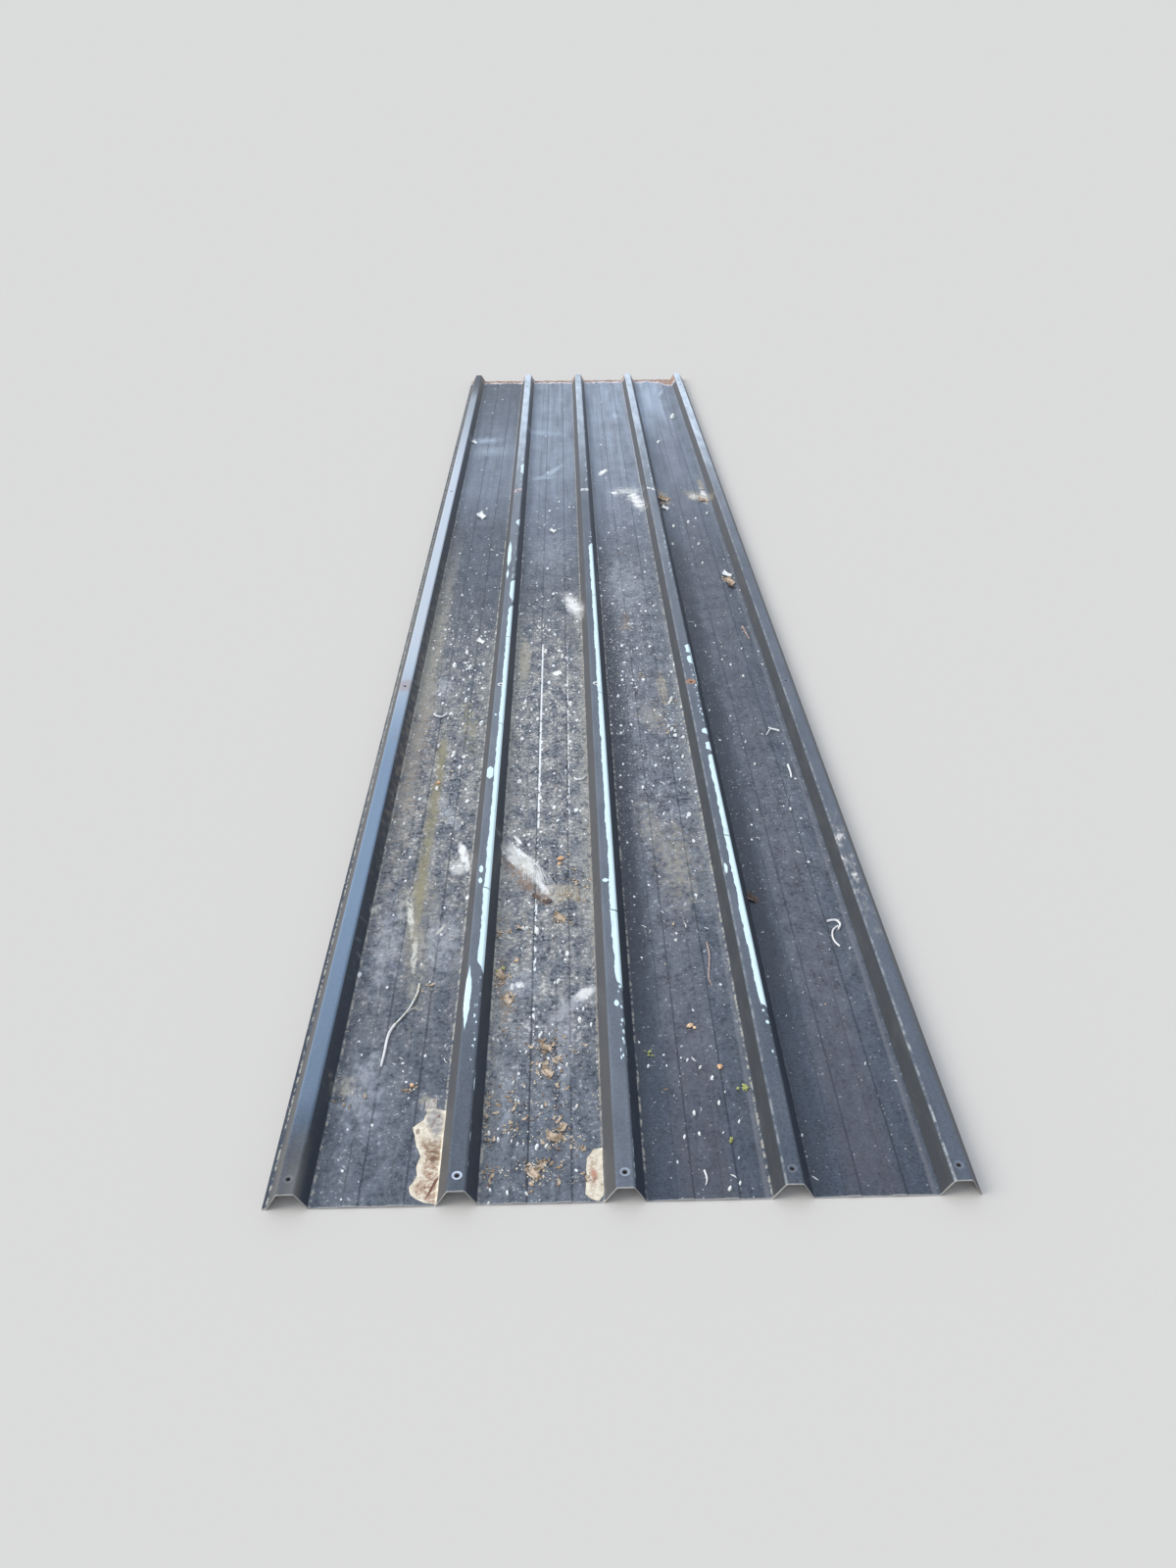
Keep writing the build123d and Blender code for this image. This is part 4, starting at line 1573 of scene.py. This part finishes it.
def add_camera():
    film_width = 36
    lens_in_film_widths = 1200 / 1600
    turn_right = radians(1.02)
    tilt_down = radians(32.26)
    lean = radians(-0.38)
    stand_off = 1.142
    eye_height = 1.456
    eye_left = 0.072
    place = Matrix.Translation((middle_rib - eye_left, near_end - stand_off, eye_height))
    aim = (
        Matrix.Rotation(-turn_right, 4, "Z")
        @ Matrix.Rotation(pi / 2 - tilt_down, 4, "X")
        @ Matrix.Rotation(lean, 4, "Z")
    )
    bpy.ops.object.camera_add()
    camera = bpy.context.active_object
    camera.name = "camera"
    camera.matrix_world = place @ aim
    camera.data.sensor_width = film_width
    camera.data.lens = film_width * lens_in_film_widths
    bpy.context.scene.camera = camera


def add_floor():
    """A broad pale floor, most of it beyond the sheet."""
    size, shift = 240, 90
    bpy.ops.mesh.primitive_plane_add(size=size, location=(0, 0, 0))
    floor = bpy.context.active_object
    floor.name = "floor"
    start_editing(floor)
    bpy.ops.transform.translate(value=(0, shift, 0))
    stop_editing()
    finish = bpy.data.materials.new("pale_floor")
    finish.use_nodes = True
    surface = finish.node_tree.nodes["Principled BSDF"]
    surface.inputs["Base Color"].default_value = (0.66, 0.611, 0.546, 1)
    surface.inputs["Roughness"].default_value = 1.0
    surface.inputs["Specular IOR Level"].default_value = 0.0
    floor.data.materials.append(finish)


def add_light():
    """A soft pale dome, as bright at its foot as the floor, and one broad key from the left."""
    world = bpy.data.worlds.new("soft_dome")
    bpy.context.scene.world = world
    world.use_nodes = True
    dome = Wire(world.node_tree)
    facing = dome.node("TexCoord", output="Generated")
    parts = dome.node("SeparateXYZ", None, {0: facing})
    upward = parts.other("Z").rise(0.03, 0.22)
    sideways = parts.other("X").rise(-0.6, 0.9)
    foot, high_left, high_right = (0.708, 0.712, 0.716, 1), (0.86, 0.96, 1.12, 1), (0.58, 0.66, 0.80, 1)
    high = sideways.blend(high_left, high_right)
    colour = upward.blend(foot, high)
    background = world.node_tree.nodes["Background"]
    world.node_tree.links.new(colour.socket, background.inputs["Color"])
    background.inputs["Strength"].default_value = 1.0
    bpy.ops.object.light_add(type="SUN", location=(-4.0, 0.0, 4.0))
    key = bpy.context.active_object
    key.name = "soft_key"
    key.data.angle = radians(32)
    key.data.energy = 1.7
    aim = Vector((9.0, 1.0, -7.0))
    key.rotation_euler = aim.to_track_quat("-Z", "Y").to_euler()


add_camera()
add_floor()
add_light()

sheet = build_sheet()
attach(sheet, "root")
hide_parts("roofing_sheet")
add_litter(sheet)

bpy.context.scene.view_settings.view_transform = "Standard"
